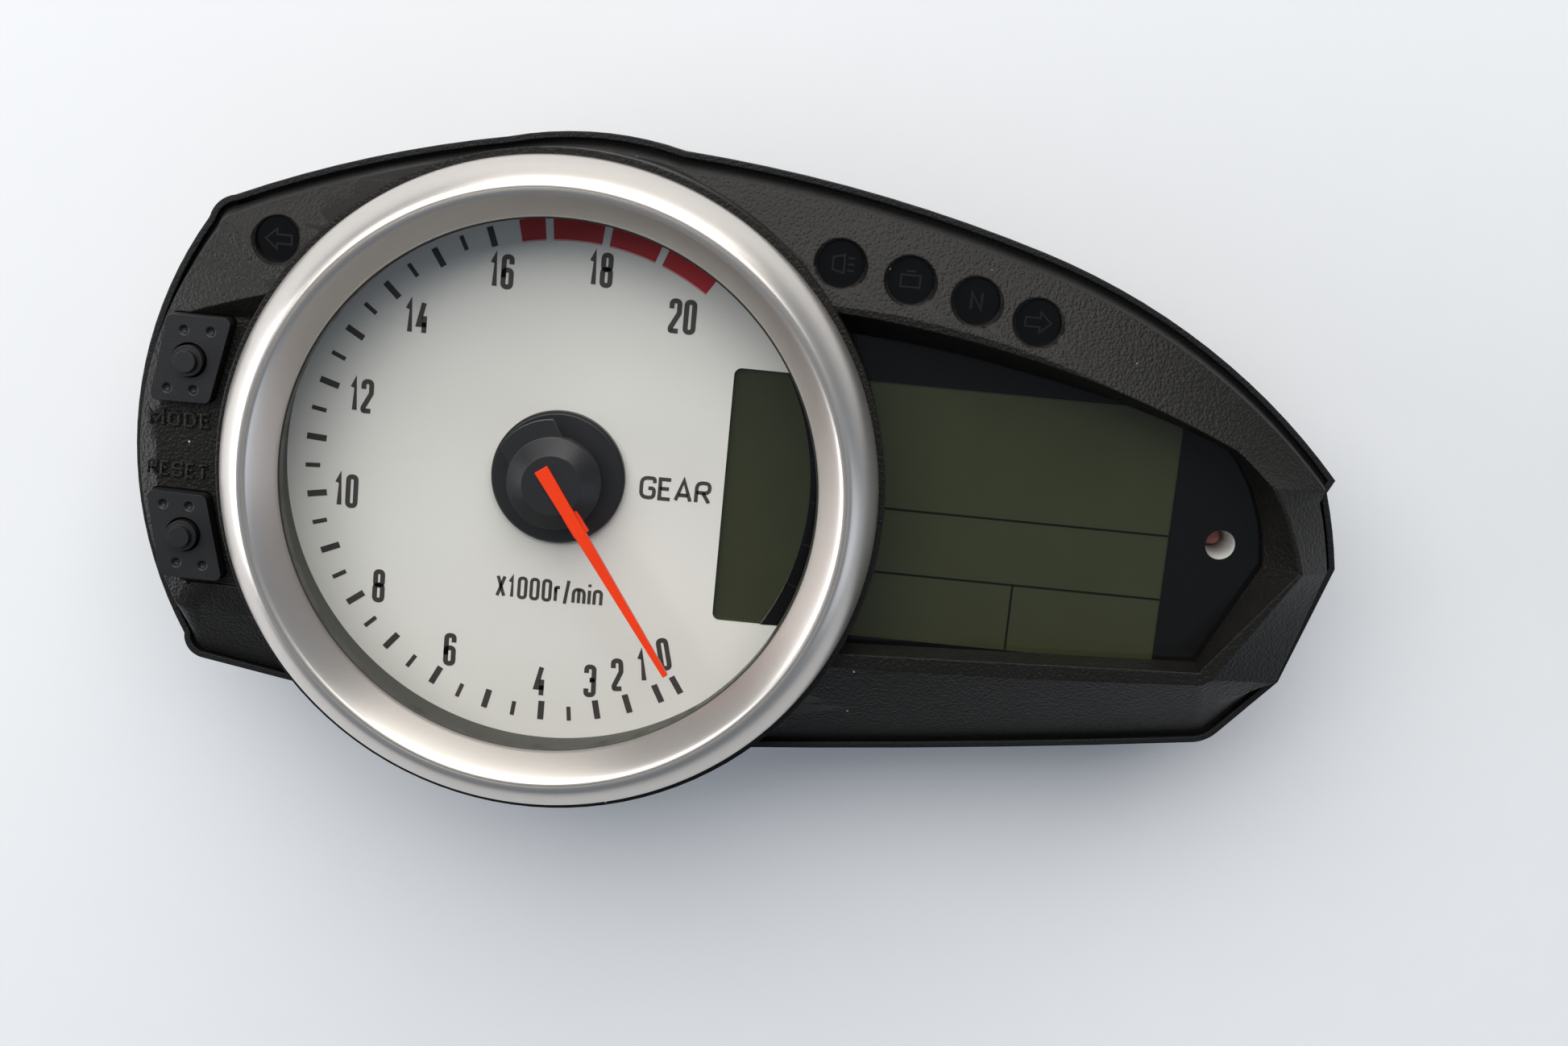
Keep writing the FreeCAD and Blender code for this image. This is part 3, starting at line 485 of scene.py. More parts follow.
def carried(mesh: bpy.types.Mesh, kind: str) -> tuple[bpy.types.Object, bpy.types.Modifier]:
    """Put a mesh into the scene under one modifier.

    Args:
        mesh: the mesh.
        kind: the modifier's type.

    Returns:
        The object that carries the mesh, and its modifier.
    """
    carrier = bpy.data.objects.new("carrier", mesh)
    bpy.context.scene.collection.objects.link(carrier)
    return carrier, carrier.modifiers.new("change", kind)


def applied(carrier: bpy.types.Object) -> bpy.types.Mesh:
    """Make a carrier's modifier real.

    Args:
        carrier: the object, which is taken out of the scene.

    Returns:
        A new plain mesh.
    """
    carrier.update_tag()
    bpy.context.view_layer.update()
    evaluated = carrier.evaluated_get(bpy.context.evaluated_depsgraph_get())
    mesh = bpy.data.meshes.new_from_object(evaluated)
    carrier.modifiers.clear()
    bpy.data.objects.remove(carrier)
    return mesh


def evened(mesh: bpy.types.Mesh) -> bpy.types.Mesh:
    """Lean the smooth normals to the larger faces.

    Args:
        mesh: the mesh, which stays as it is.

    Returns:
        A new mesh.
    """
    carrier, modifier = carried(mesh, "WEIGHTED_NORMAL")
    modifier.keep_sharp = True
    modifier.weight = EVEN_WEIGHT
    return applied(carrier)


def merged_copy(node: str, angle: float, bevel: float) -> bpy.types.Mesh:
    """Copy a CAD node's mesh, join its loose triangles and soften its edges.

    Args:
        node: the CAD node.
        angle: edges sharper than this, in degrees, stay crisp or are bevelled.
        bevel: width of the bevel in millimetres, or 0.

    Returns:
        A new mesh.
    """
    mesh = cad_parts[node].data.copy()
    work = bmesh.new()
    work.from_mesh(mesh)
    bmesh.ops.remove_doubles(work, verts=work.verts, dist=JOIN_DISTANCE)
    bmesh.ops.dissolve_limit(work, angle_limit=math.radians(FLAT_ANGLE), verts=work.verts,
                             edges=work.edges)
    if bevel > 0:
        sharp = [e for e in work.edges if len(e.link_faces) == 2
                 and e.calc_face_angle(0.0) > math.radians(angle)]
        bmesh.ops.bevel(work, geom=sharp, offset=bevel * MM, offset_type="OFFSET",
                        segments=BEVEL_SEGMENTS, profile=BEVEL_PROFILE, affect="EDGES",
                        clamp_overlap=True)
    work.to_mesh(mesh)
    work.free()
    smooth(mesh, angle)
    return evened(mesh)


def closed_mesh(name: str, verts: Iterable[Vector],
                faces: Sequence[Sequence[int]]) -> bpy.types.Mesh:
    """Make a mesh whose faces point outwards.

    Args:
        name: the mesh's name.
        verts: its corners, in metres.
        faces: the corners of each face, by number.

    Returns:
        The new mesh.
    """
    mesh = bpy.data.meshes.new(name)
    mesh.from_pydata([tuple(v) for v in verts], [], faces)
    work = bmesh.new()
    work.from_mesh(mesh)
    bmesh.ops.recalc_face_normals(work, faces=work.faces)
    work.to_mesh(mesh)
    work.free()
    return mesh


def arc(radius: float, first: float, last: float, steps: int) -> list[Point]:
    """Draw an arc round the dial's middle.

    Args:
        radius: its radius.
        first: angle of its start, in degrees.
        last: angle of its end.
        steps: how many straight lengths it has.

    Returns:
        Its points.
    """
    turns = [math.radians(first + (last - first) * i / steps) for i in range(steps + 1)]
    return [(radius * math.cos(t), radius * math.sin(t)) for t in turns]


@dataclass
class Sheetwork:
    """Collects flat-sided shapes, drawn in millimetres round the dial, in one mesh."""

    verts: list[Vector] = field(default_factory=list)
    faces: list[list[int]] = field(default_factory=list)

    def prism(self, outline: Sequence[Point], low: float, high: float) -> None:
        """Add a plate.

        Args:
            outline: its corners, counter-clockwise.
            low: level of its underside.
            high: level of its top.
        """
        start, count = len(self.verts), len(outline)
        self.verts += [DIAL.at(x, y, low) for x, y in outline]
        self.verts += [DIAL.at(x, y, high) for x, y in outline]
        self.faces.append([start + i for i in reversed(range(count))])
        self.faces.append([start + count + i for i in range(count)])
        for i in range(count):
            j = (i + 1) % count
            self.faces.append([start + i, start + j, start + count + j, start + count + i])

    def sector(self, inner: float, outer: float, first: float, last: float, low: float,
               high: float) -> None:
        """Add part of a flat ring.

        Args:
            inner: its inner radius.
            outer: its outer radius.
            first: angle of its start, in degrees.
            last: angle of its end.
            low: level of its underside.
            high: level of its top.
        """
        steps = max(2, int(abs(last - first) / ARC_STEP))
        inside = arc(inner, first, last, steps)
        self.prism(inside[::-1] + arc(outer, first, last, steps), low, high)

    def ribbon(self, line: Sequence[Point], width: float, low: float, high: float,
               closed: bool = False) -> None:
        """Add a band of even width along a line.

        Args:
            line: the corners of its middle line.
            width: its width.
            low: level of its underside.
            high: level of its top.
            closed: whether the last corner joins the first.
        """
        points = [Vector(p) for p in line]
        count = len(points)
        left, right = [], []
        for i, point in enumerate(points):
            before = points[i - 1] if (closed or i) else None
            after = points[(i + 1) % count] if (closed or i < count - 1) else None
            sides = []
            if before is not None:
                sides.append((point - before).normalized().orthogonal())
            if after is not None:
                sides.append((after - point).normalized().orthogonal())
            side = sum(sides, Vector((0.0, 0.0)))
            side = side.normalized() if side.length > TINY else sides[0]
            reach = width / 2 / max(MITRE_LIMIT, side.dot(sides[0]))
            left.append(point + side * reach)
            right.append(point - side * reach)
        start = len(self.verts)
        for row, level in ((left, low), (right, low), (right, high), (left, high)):
            self.verts += [DIAL.at(p.x, p.y, level) for p in row]
        for i in range(count if closed else count - 1):
            j = (i + 1) % count
            for k in range(4):
                a, b = start + k * count, start + (k + 1) % 4 * count
                self.faces.append([a + i, a + j, b + j, b + i])
        if not closed:
            self.faces.append([start + k * count for k in range(4)])
            self.faces.append([start + k * count + count - 1 for k in reversed(range(4))])

    def mesh(self, name: str) -> bpy.types.Mesh:
        """Return the shapes as one mesh."""
        return closed_mesh(name, self.verts, self.faces)


def rounded(line: Sequence[Point], radius: float, closed: bool = False) -> list[Point]:
    """Fillet the corners of a line.

    Args:
        line: its corners.
        radius: fillet radius.
        closed: whether the last corner joins the first.

    Returns:
        The corners of the filleted line.
    """
    points, out = [Vector(p) for p in line], []
    count = len(points)
    for i, point in enumerate(points):
        if not closed and i in (0, count - 1):
            out.append(tuple(point))
            continue
        to_before = points[i - 1] - point
        to_after = points[(i + 1) % count] - point
        half = to_before.angle(to_after) / 2
        trim = min(radius / max(SHARPEST_TANGENT, math.tan(half)),
                   to_before.length * FILLET_SHARE, to_after.length * FILLET_SHARE)
        start = point + to_before.normalized() * trim
        end = point + to_after.normalized() * trim
        for k in range(FILLET_STEPS + 1):
            t = k / FILLET_STEPS
            out.append(tuple(start * (1 - t) ** 2 + point * (2 * t * (1 - t)) + end * t ** 2))
    return out


@dataclass(frozen=True)
class Glyph:
    """Strokes of one sign on a unit square: open or closed lines, soft or sharp cornered."""

    strokes: tuple[tuple[tuple[Point, ...], bool, bool], ...]
    width: float = 1.0


def strokes(*lines: tuple, width: float = 1.0) -> Glyph:
    """Make a glyph; each line is (points, closed, soft)."""
    return Glyph(tuple(lines), width)


SIGNS = {
    "0": strokes((((0, 0), (1, 0), (1, 1), (0, 1)), True, True)),
    "1": strokes((((0.0, 0.76), (0.62, 1.0), (0.62, 0.0)), False, False), width=0.7),
    "2": strokes((((0, 0.74), (0, 1), (1, 1), (1, 0.6), (0, 0.1), (0, 0), (1, 0)), False, True)),
    "3": strokes((((0, 0.78), (0, 1), (1, 1), (1, 0.53), (0.45, 0.53)), False, True),
                 (((0.45, 0.53), (1, 0.53), (1, 0), (0, 0), (0, 0.22)), False, True)),
    "4": strokes((((0.62, 1), (0, 0.27), (1.05, 0.27)), False, False),
                 (((0.74, 0.56), (0.74, 0)), False, False)),
    "6": strokes((((0, 0), (1, 0), (1, 0.56), (0, 0.56)), True, True),
                 (((0, 0.3), (0, 1), (1, 1), (1, 0.76)), False, True)),
    "8": strokes((((0, 0), (1, 0), (1, 0.53), (0, 0.53)), True, True),
                 (((0.04, 0.53), (0.96, 0.53), (0.96, 1), (0.04, 1)), True, True)),
    "G": strokes((((1, 0.76), (1, 1), (0, 1), (0, 0), (1, 0), (1, 0.48), (0.55, 0.48)),
                  False, True)),
    "E": strokes((((1, 1), (0, 1), (0, 0), (1, 0)), False, False),
                 (((0, 0.52), (0.85, 0.52)), False, False), width=0.86),
    "A": strokes((((0, 0), (0.5, 1.05), (1, 0)), False, False),
                 (((0.18, 0.28), (0.82, 0.28)), False, False), width=1.1),
    "R": strokes((((0, 0), (0, 1), (1, 1), (1, 0.5), (0, 0.5)), False, True),
                 (((0.5, 0.5), (1, 0)), False, False)),
    "M": strokes((((0, 0), (0, 1), (0.5, 0.3), (1, 1), (1, 0)), False, False), width=1.25),
    "O": strokes((((0, 0), (1, 0), (1, 1), (0, 1)), True, True)),
    "D": strokes((((0, 0), (0.6, 0), (1, 0.25), (1, 0.75), (0.6, 1), (0, 1)), True, False)),
    "S": strokes((((1, 0.78), (1, 1), (0, 1), (0, 0.52), (1, 0.52), (1, 0), (0, 0), (0, 0.22)),
                  False, True)),
    "T": strokes((((0, 1), (1, 1)), False, False), (((0.5, 1), (0.5, 0)), False, False)),
    "N": strokes((((0, 0), (0, 1), (1, 0), (1, 1)), False, False)),
    "X": strokes((((0, 0), (1, 1)), False, False), (((0, 1), (1, 0)), False, False)),
    "r": strokes((((0, 0), (0, 0.7)), False, False),
                 (((0, 0.42), (0, 0.7), (1, 0.7)), False, True), width=0.72),
    "/": strokes((((0, -0.1), (1, 1.1)), False, False), width=0.62),
    "m": strokes((((0, 0), (0, 0.7), (1, 0.7), (1, 0)), False, True),
                 (((0.5, 0.7), (0.5, 0)), False, False), width=1.4),
    "i": strokes((((0.5, 0), (0.5, 0.7)), False, False),
                 (((0.5, 0.88), (0.5, 1.02)), False, False), width=0.25),
    "n": strokes((((0, 0), (0, 0.7), (1, 0.7), (1, 0)), False, True)),
}


@dataclass(frozen=True)
class Lettering:
    """Condensed generic lettering, drawn as bands of even width."""

    height: float
    pen: float
    glyph: float
    gap: float

    def write(self, sheet: Sheetwork, text: str, centre: Point, low: float, high: float,
              lean: float = 0.0) -> None:
        """Write a word.

        Args:
            sheet: where its bands are added.
            text: the word.
            centre: its middle, in millimetres from the dial's middle.
            low: level of its underside.
            high: level of its top.
            lean: angle that it is turned by, in degrees.
        """
        widths = [self.glyph * SIGNS[c].width for c in text]
        x = -(sum(widths) + self.gap * (len(text) - 1)) / 2
        turn = Matrix.Rotation(math.radians(lean), 2)
        for sign, width in zip(text, widths):
            for line, closed, soft in SIGNS[sign].strokes:
                inner, tall = width - self.pen, self.height - self.pen
                points = [(x + self.pen / 2 + px * inner,
                           -self.height / 2 + self.pen / 2 + py * tall) for px, py in line]
                if soft:
                    points = rounded(points, inner * LETTER_CORNER, closed)
                placed = [turn @ Vector(p) + Vector(centre) for p in points]
                sheet.ribbon([tuple(p) for p in placed], self.pen, low, high, closed)
            x += width + self.gap


def lathe(profile: Sequence[Point], steps: int, name: str) -> bpy.types.Mesh:
    """Turn a closed outline of (radius, level) points round the dial's axis.

    Args:
        profile: the outline.
        steps: points round the circle.
        name: the mesh's name.

    Returns:
        The new mesh.
    """
    verts, faces = [], []
    count = len(profile)
    for i in range(steps):
        turn = 2 * math.pi * i / steps
        verts += [DIAL.at(r * math.cos(turn), r * math.sin(turn), z) for r, z in profile]
    for i in range(steps):
        a, b = i * count, (i + 1) % steps * count
        for k in range(count):
            m = (k + 1) % count
            faces.append([a + k, b + k, b + m, a + m])
    return closed_mesh(name, verts, faces)


# ---------------------------------------------------------------------------
# Geometry Nodes
# ---------------------------------------------------------------------------


@dataclass(frozen=True)
class Repeater:
    """A Geometry Nodes tree that repeats small bars, and the plain mesh that it gives."""

    name: str
    finish: Finish

    def _tree(self, numbers: dict[str, str]) -> tuple[Graph, dict[str, Value], bpy.types.Node]:
        """Start a tree with named number inputs.

        Args:
            numbers: socket type of each input by its name.

        Returns:
            The graph, its inputs as values, and the group's output node.
        """
        tree = bpy.data.node_groups.new(self.name, "GeometryNodeTree")
        for title, kind in numbers.items():
            tree.interface.new_socket(title, in_out="INPUT", socket_type=kind)
        tree.interface.new_socket("Geometry", in_out="OUTPUT", socket_type="NodeSocketGeometry")
        graph = Graph(tree)
        source = graph.add("NodeGroupInput")
        values = {title: graph.value(source, title) for title in numbers}
        return graph, values, graph.add("NodeGroupOutput")

    def _repeat(self, graph: Graph, inputs: dict[str, Value], out: bpy.types.Node,
                place: Value, turn: Number) -> None:
        """Set a bar at each place, make the bars real and give them their finish.

        Args:
            graph: the tree.
            inputs: its inputs.
            out: its output node.
            place: middle of each bar.
            turn: angle of each bar, in radians.
        """
        points = graph.add("GeometryNodePoints", None, {"Count": inputs["Count"],
                                                        "Position": place})
        size = graph.vector(inputs["Length"], inputs["Width"], inputs["Thickness"])
        bar = graph.add("GeometryNodeMeshCube", None, {"Size": size})
        spin = graph.value(graph.add("FunctionNodeEulerToRotation", None, {
            0: graph.vector(0.0, 0.0, turn)}))
        copies = graph.add("GeometryNodeInstanceOnPoints", None, {
            "Points": points.outputs[0], "Instance": bar.outputs[0], "Rotation": spin})
        real = graph.add("GeometryNodeRealizeInstances", None, {0: copies.outputs[0]})
        dressed = graph.add("GeometryNodeSetMaterial", None, {0: real.outputs[0]})
        dressed.inputs["Material"].default_value = self.finish.material()
        graph.tree.links.new(dressed.outputs[0], out.inputs[0])

    def _result(self, graph: Graph, settings: dict[str, float]) -> bpy.types.Mesh:
        """Run the tree.

        Args:
            graph: the tree.
            settings: value of each input by its name.

        Returns:
            The bars as a plain mesh.
        """
        carrier, modifier = carried(bpy.data.meshes.new(self.name), "NODES")
        modifier.node_group = graph.tree
        sockets = {item.name: item.identifier for item in graph.tree.interface.items_tree
                   if item.in_out == "INPUT"}
        for title, value in settings.items():
            modifier[sockets[title]] = value
        return applied(carrier)


@dataclass(frozen=True)
class TickFan(Repeater):
    """Bars that stand round the dial at even angles."""

    count: int = 1
    first: float = 0.0
    step: float = 10.0
    inner: float = 40.0
    outer: float = 45.0
    width: float = 1.0
    level: float = 0.0
    thickness: float = 0.04

    def mesh(self) -> bpy.types.Mesh:
        """Build the tree and run it.

        Returns:
            The bars as a mesh.
        """
        graph, inputs, out = self._tree({
            "Count": "NodeSocketInt", "First Angle": "NodeSocketFloat", "Step": "NodeSocketFloat",
            "Radius": "NodeSocketFloat", "Length": "NodeSocketFloat", "Width": "NodeSocketFloat",
            "Thickness": "NodeSocketFloat", "Middle X": "NodeSocketFloat",
            "Middle Y": "NodeSocketFloat", "Level": "NodeSocketFloat"})
        index = graph.value(graph.add("GeometryNodeInputIndex"))
        turn = inputs["First Angle"] + index * inputs["Step"]
        place = graph.vector(inputs["Middle X"] + turn.cos() * inputs["Radius"],
                             inputs["Middle Y"] + turn.sin() * inputs["Radius"], inputs["Level"])
        self._repeat(graph, inputs, out, place, turn)
        middle = DIAL.at(0, 0, self.level + self.thickness / 2)
        return self._result(graph, {
            "Count": self.count, "First Angle": math.radians(self.first),
            "Step": math.radians(self.step), "Radius": (self.inner + self.outer) / 2 * MM,
            "Length": (self.outer - self.inner) * MM, "Width": self.width * MM,
            "Thickness": self.thickness * MM, "Middle X": middle.x, "Middle Y": middle.y,
            "Level": middle.z})


@dataclass(frozen=True)
class RibRow(Repeater):
    """Straight ribs side by side on the back of the case."""

    count: int = 9
    corner: Triple = (0.0, 0.0, 0.0)
    pitch: float = 9.0
    length: float = 30.0
    width: float = 1.2
    thickness: float = 0.9

    def mesh(self) -> bpy.types.Mesh:
        """Build the tree and run it.

        Returns:
            The ribs as a mesh.
        """
        graph, inputs, out = self._tree({
            "Count": "NodeSocketInt", "Start X": "NodeSocketFloat", "Middle Y": "NodeSocketFloat",
            "Level": "NodeSocketFloat", "Pitch": "NodeSocketFloat", "Length": "NodeSocketFloat",
            "Width": "NodeSocketFloat", "Thickness": "NodeSocketFloat"})
        index = graph.value(graph.add("GeometryNodeInputIndex"))
        place = graph.vector(inputs["Start X"] + index * inputs["Pitch"], inputs["Middle Y"],
                             inputs["Level"])
        self._repeat(graph, inputs, out, place, math.pi / 2)
        start = DIAL.at(*self.corner)
        return self._result(graph, {
            "Count": self.count, "Start X": start.x, "Middle Y": start.y, "Level": start.z,
            "Pitch": self.pitch * MM, "Length": self.length * MM, "Width": self.width * MM,
            "Thickness": self.thickness * MM})


# ---------------------------------------------------------------------------
# Sub-assemblies
# ---------------------------------------------------------------------------


@dataclass
class CadParts:
    """CAD nodes that keep their own mesh and take a finish."""

    finishes: dict[str, Finish]

    def dress(self) -> None:
        """Give each node its finish."""
        for node, finish in self.finishes.items():
            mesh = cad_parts[node].data
            mesh.materials.clear()
            mesh.materials.append(finish.material())
            log.info("node %s wears %s", node, finish.name)


@dataclass
class SoftParts:
    """CAD nodes shown as merged copies with smooth shading and softened edges."""

    finishes: dict[str, tuple[Finish, str, float]]

    def build(self) -> None:
        """Copy, soften and dress each node."""
        for node, (finish, body, bevel) in self.finishes.items():
            angle = SHARP_ANGLE_ROUNDED if finish.rounding > 0 else SHARP_ANGLE
            finished(merged_copy(node, angle, bevel), node + "_shown", finish, body, [node])


@dataclass
class Ring:
    """Silver ring round the rev counter, with its black lip and the lining of its well.

    Its sections are turned round the dial's axis. Points in the fields are (outwards, upwards),
    in millimetres, from the edge that the field's name gives.
    """

    steps: int = 288
    sharp_angle: float = 42.0
    width: float = 10.8
    groove_in: float = 5.6
    flank_from_base: tuple[Point, ...] = (
        (0.0, 0.0), (0.0, 1.3), (-0.12, 2.1), (-0.42, 3.0), (-0.95, 4.0), (-1.6, 4.95),
        (-2.4, 5.9), (-3.2, 6.75), (-4.0, 7.45))
    groove_from_crest: tuple[Point, ...] = (
        (0.85, -0.12), (0.45, -0.01), (0.18, -0.05), (0.07, -0.22), (-0.07, -0.22),
        (-0.18, -0.07), (-0.5, -0.1), (-0.9, -0.42))
    cone_points: int = 10
    cone_run: float = 4.0
    cone_end: float = 2.9
    cone_bow: float = 1.08
    wall_in: float = 0.2
    wall_height: float = 2.2
    base_inner: float = 2.6
    base_outer: float = 2.2
    hollow_drop: float = 3.0
    lip_from_inner: tuple[Point, ...] = (
        (-0.02, 0.02), (0.18, 0.02), (0.18, 2.3), (0.1, 2.36), (-0.02, 2.3))
    sleeve_fit: float = 0.06
    sleeve_wall: float = 0.25
    sleeve_base: float = 0.04
    sleeve_gap: float = 0.05

    def outline(self) -> list[Point]:
        """Draw the ring's section.

        Returns:
            Its corners as (radius, level), in millimetres.
        """
        low, high = DIAL.box("bezel_ring")
        outer, seat, crest = high.x, low.z, high.z
        inner, groove = outer - self.width, outer - self.groove_in
        flank = [(outer + x, seat + z) for x, z in self.flank_from_base]
        rims = [(groove + x, crest + z) for x, z in self.groove_from_crest]
        edge, top = rims[-1]
        fall = crest - seat - self.cone_end
        shares = [i / self.cone_points for i in range(1, self.cone_points + 1)]
        cone = [(edge - self.cone_run * t, top - fall * t ** self.cone_bow) for t in shares]
        foot = [(inner + self.wall_in, seat + self.wall_height), (inner + self.wall_in, seat),
                (inner + self.base_inner, seat), (groove, crest - self.hollow_drop),
                (outer - self.base_outer, seat)]
        return flank + rims + cone + foot

    def lip(self) -> list[Point]:
        """Draw the section of the black lip between the ring's foot and the lens.

        Returns:
            Its corners as (radius, level), in millimetres.
        """
        low, high = DIAL.box("bezel_ring")
        return [(high.x - self.width + x, low.z + z) for x, z in self.lip_from_inner]

    def sleeve(self) -> list[Point]:
        """Draw the section of the glossy lining of the well under the ring.

        Returns:
            Its corners as (radius, level), in millimetres.
        """
        _, dial = DIAL.box("dial_plate")
        seal, _ = DIAL.box("lens_seal")
        outer, top = dial.x + self.sleeve_fit, seal.z - self.sleeve_gap
        inner = outer - self.sleeve_wall
        return [(outer, self.sleeve_base), (outer, top), (inner, top), (inner, self.sleeve_base)]

    def build(self) -> None:
        """Turn the ring, the lining of its well and its lip."""
        for name, section, finish, replaced in (
                ("silver_ring", self.outline(), RING, ["bezel_ring"]),
                ("well_lining", self.sleeve(), SLEEVE, []), ("ring_lip", self.lip(), SLEEVE, [])):
            mesh = lathe(section, self.steps, name)
            smooth(mesh, self.sharp_angle)
            finished(mesh, name, finish, "housing", replaced)


@dataclass
class DialPrint:
    """Everything printed on the rev counter's dial.

    Speeds are in thousands. The angle of 10 is given by ten, and the angle from one thousand to
    the next by step, in degrees. A kind of tick is (inner radius, width).
    """

    level: float = 0.02
    ink: float = 0.04
    outer: float = 46.5
    major: tuple[float, float] = (42.9, 1.15)
    minor: tuple[float, float] = (43.8, 0.78)
    step: float = 13.35
    ten: float = 189.71
    even_speeds: tuple[int, int] = (3, 16)
    slow_ticks: Triple = (-56.5, -61.4, -69.2)
    band: tuple[float, float] = (42.9, 46.7)
    band_speeds: tuple[float, ...] = (16.5, 17, 18, 19, 20)
    band_gap: float = 0.9
    edge_in: tuple[float, float] = (0.28, 0.02)
    numerals: tuple[tuple[str, float, float, float], ...] = (
        ("16", -12.9, 36.1, 0.0), ("18", 4.8, 38.1, 0.0), ("20", 20.0, 31.2, 0.0),
        ("14", -27.6, 26.4, 0.0), ("12", -36.8, 11.2, 0.0), ("10", -38.7, -6.6, 0.0),
        ("8", -31.8, -23.9, 0.0), ("6", -17.9, -34.7, 0.0), ("4", -0.7, -39.1, 0.0),
        ("3", 8.6, -38.1, 2.0), ("2", 13.6, -36.4, 6.0), ("1", 18.1, -34.3, 10.0),
        ("0", 21.9, -31.6, 14.0))
    gear_word_at: Point = (21.4, -0.5)
    unit_word_at: Point = (-0.2, -21.6)
    numeral_font: Lettering = Lettering(height=6.3, pen=0.9, glyph=2.3, gap=0.38)
    word_font: Lettering = Lettering(height=4.3, pen=0.68, glyph=3.05, gap=0.36)
    unit_font: Lettering = Lettering(height=4.3, pen=0.6, glyph=1.85, gap=0.42)

    def angle(self, speed: float) -> float:
        """Angle of a speed, in degrees counter-clockwise from the right."""
        return self.ten - self.step * (speed - 10)

    def ticks(self) -> None:
        """Print the even ticks and the uneven ones at the slow end."""
        first, last = self.even_speeds
        for name, count, start, (inner, width) in (
                ("dial_major_ticks", last - first + 1, first, self.major),
                ("dial_minor_ticks", last - first, first + 0.5, self.minor)):
            fan = TickFan(name, INK, count=count, first=self.angle(start), step=-self.step,
                          inner=inner, outer=self.outer, width=width, level=self.level,
                          thickness=self.ink)
            finished(fan.mesh(), name, INK, "housing")
        slow = Sheetwork()
        inner, width = self.major
        for turn in self.slow_ticks:
            t = math.radians(turn)
            slow.ribbon([(r * math.cos(t), r * math.sin(t)) for r in (inner, self.outer)], width,
                        self.level, self.level + self.ink)
        finished(slow.mesh("slow_ticks"), "dial_slow_ticks", INK, "housing")

    def red_band(self) -> None:
        """Print the red band and the pink line inside it, in parts with gaps between them."""
        low, high = self.level, self.level + self.ink
        slowest, fastest = self.band_speeds[0], self.band_speeds[-1]
        inner = self.band[0]
        band, edge = Sheetwork(), Sheetwork()
        for start, end in zip(self.band_speeds, self.band_speeds[1:]):
            first = self.angle(start) - (self.band_gap if start > slowest else 0.0)
            last = self.angle(end) + (self.band_gap if end < fastest else 0.0)
            band.sector(*self.band, last, first, low, high)
            edge.sector(inner - self.edge_in[0], inner - self.edge_in[1], last, first, low, high)
        finished(band.mesh("red_band"), "dial_red_band", INK_RED, "housing")
        finished(edge.mesh("red_edge"), "dial_red_edge", INK_PINK, "housing")

    def figures(self) -> None:
        """Print the numbers and the two words."""
        low, high = self.level, self.level + self.ink
        sheet = Sheetwork()
        for text, x, y, lean in self.numerals:
            self.numeral_font.write(sheet, text, (x, y), low, high, lean)
        self.word_font.write(sheet, "GEAR", self.gear_word_at, low, high)
        self.unit_font.write(sheet, "X1000r/min", self.unit_word_at, low, high)
        finished(sheet.mesh("figures"), "dial_figures", INK, "housing")

    def build(self) -> None:
        """Print the ticks, the red band and the figures."""
        self.ticks()
        self.red_band()
        self.figures()


@dataclass
class GearWindow:
    """Black crescent right of the gear window, with its fine marks.

    Each rim is (radius, first angle, last angle).
    """

    inner: Triple = (45.95, -31.6, 30.0)
    outer: Triple = (49.75, -28.8, 27.4)
    rim_steps: int = 40
    bottom: float = 0.02
    top: float = 0.05
    marks: int = 5
    first_mark: float = -20.0
    mark_step: float = 9.8
    mark_margins: tuple[float, float] = (0.3, 0.6)
    mark_width: float = 0.35
    mark_level: float = 0.06
    mark_thickness: float = 0.03

    def build(self) -> None:
        """Print the crescent and its marks."""
        inside = arc(*self.inner, self.rim_steps)
        crescent = Sheetwork()
        crescent.prism(inside[::-1] + arc(*self.outer, self.rim_steps), self.bottom, self.top)
        finished(crescent.mesh("crescent"), "gear_window_crescent", MASK, "housing")
        marks = TickFan("gear_window_marks", ICON, count=self.marks, first=self.first_mark,
                        step=self.mark_step, inner=self.inner[0] + self.mark_margins[0],
                        outer=self.outer[0] - self.mark_margins[1], width=self.mark_width,
                        level=self.mark_level, thickness=self.mark_thickness)
        finished(marks.mesh(), marks.name, ICON, "housing")


@dataclass
class DisplayPrint:
    """Dark lines that divide the liquid crystal panel."""

    pen: float = 0.38
    left: float = 48.0
    rows: tuple[float, float] = (-0.2, -12.2)
    divider: float = 84.8
    border: float = 1.7
    bottom: float = 0.02
    top: float = 0.06

    def build(self) -> None:
        """Draw the lines just above the panel."""
        panel_low, panel_high = DIAL.box("lcd_panel")
        right, foot = panel_high.x - self.border, panel_low.y + self.border
        low, high = panel_high.z + self.bottom, panel_high.z + self.top
        sheet = Sheetwork()
        for y in self.rows:
            sheet.ribbon([(self.left, y), (right, y)], self.pen, low, high)
        sheet.ribbon([(self.divider, self.rows[1]), (self.divider, foot)], self.pen, low, high)
        finished(sheet.mesh("lines"), "display_lines", PANEL_INK, "housing")


Stroke = tuple[tuple[Point, ...], bool]
ARROW: tuple[Point, ...] = (
    (-2.4, 0.0), (-0.4, 1.8), (-0.4, 0.8), (2.2, 0.8), (2.2, -0.8), (-0.4, -0.8), (-0.4, -1.8))
HEADLAMP: tuple[Point, ...] = ((0.6, 1.6), (-1.4, 1.1), (-1.4, -1.1), (0.6, -1.6))
ENGINE: tuple[Point, ...] = ((-1.7, -1.2), (1.7, -1.2), (1.7, 0.9), (-1.7, 0.9))
ENGINE_CAP: tuple[Point, ...] = ((-0.8, 1.6), (0.8, 1.6))


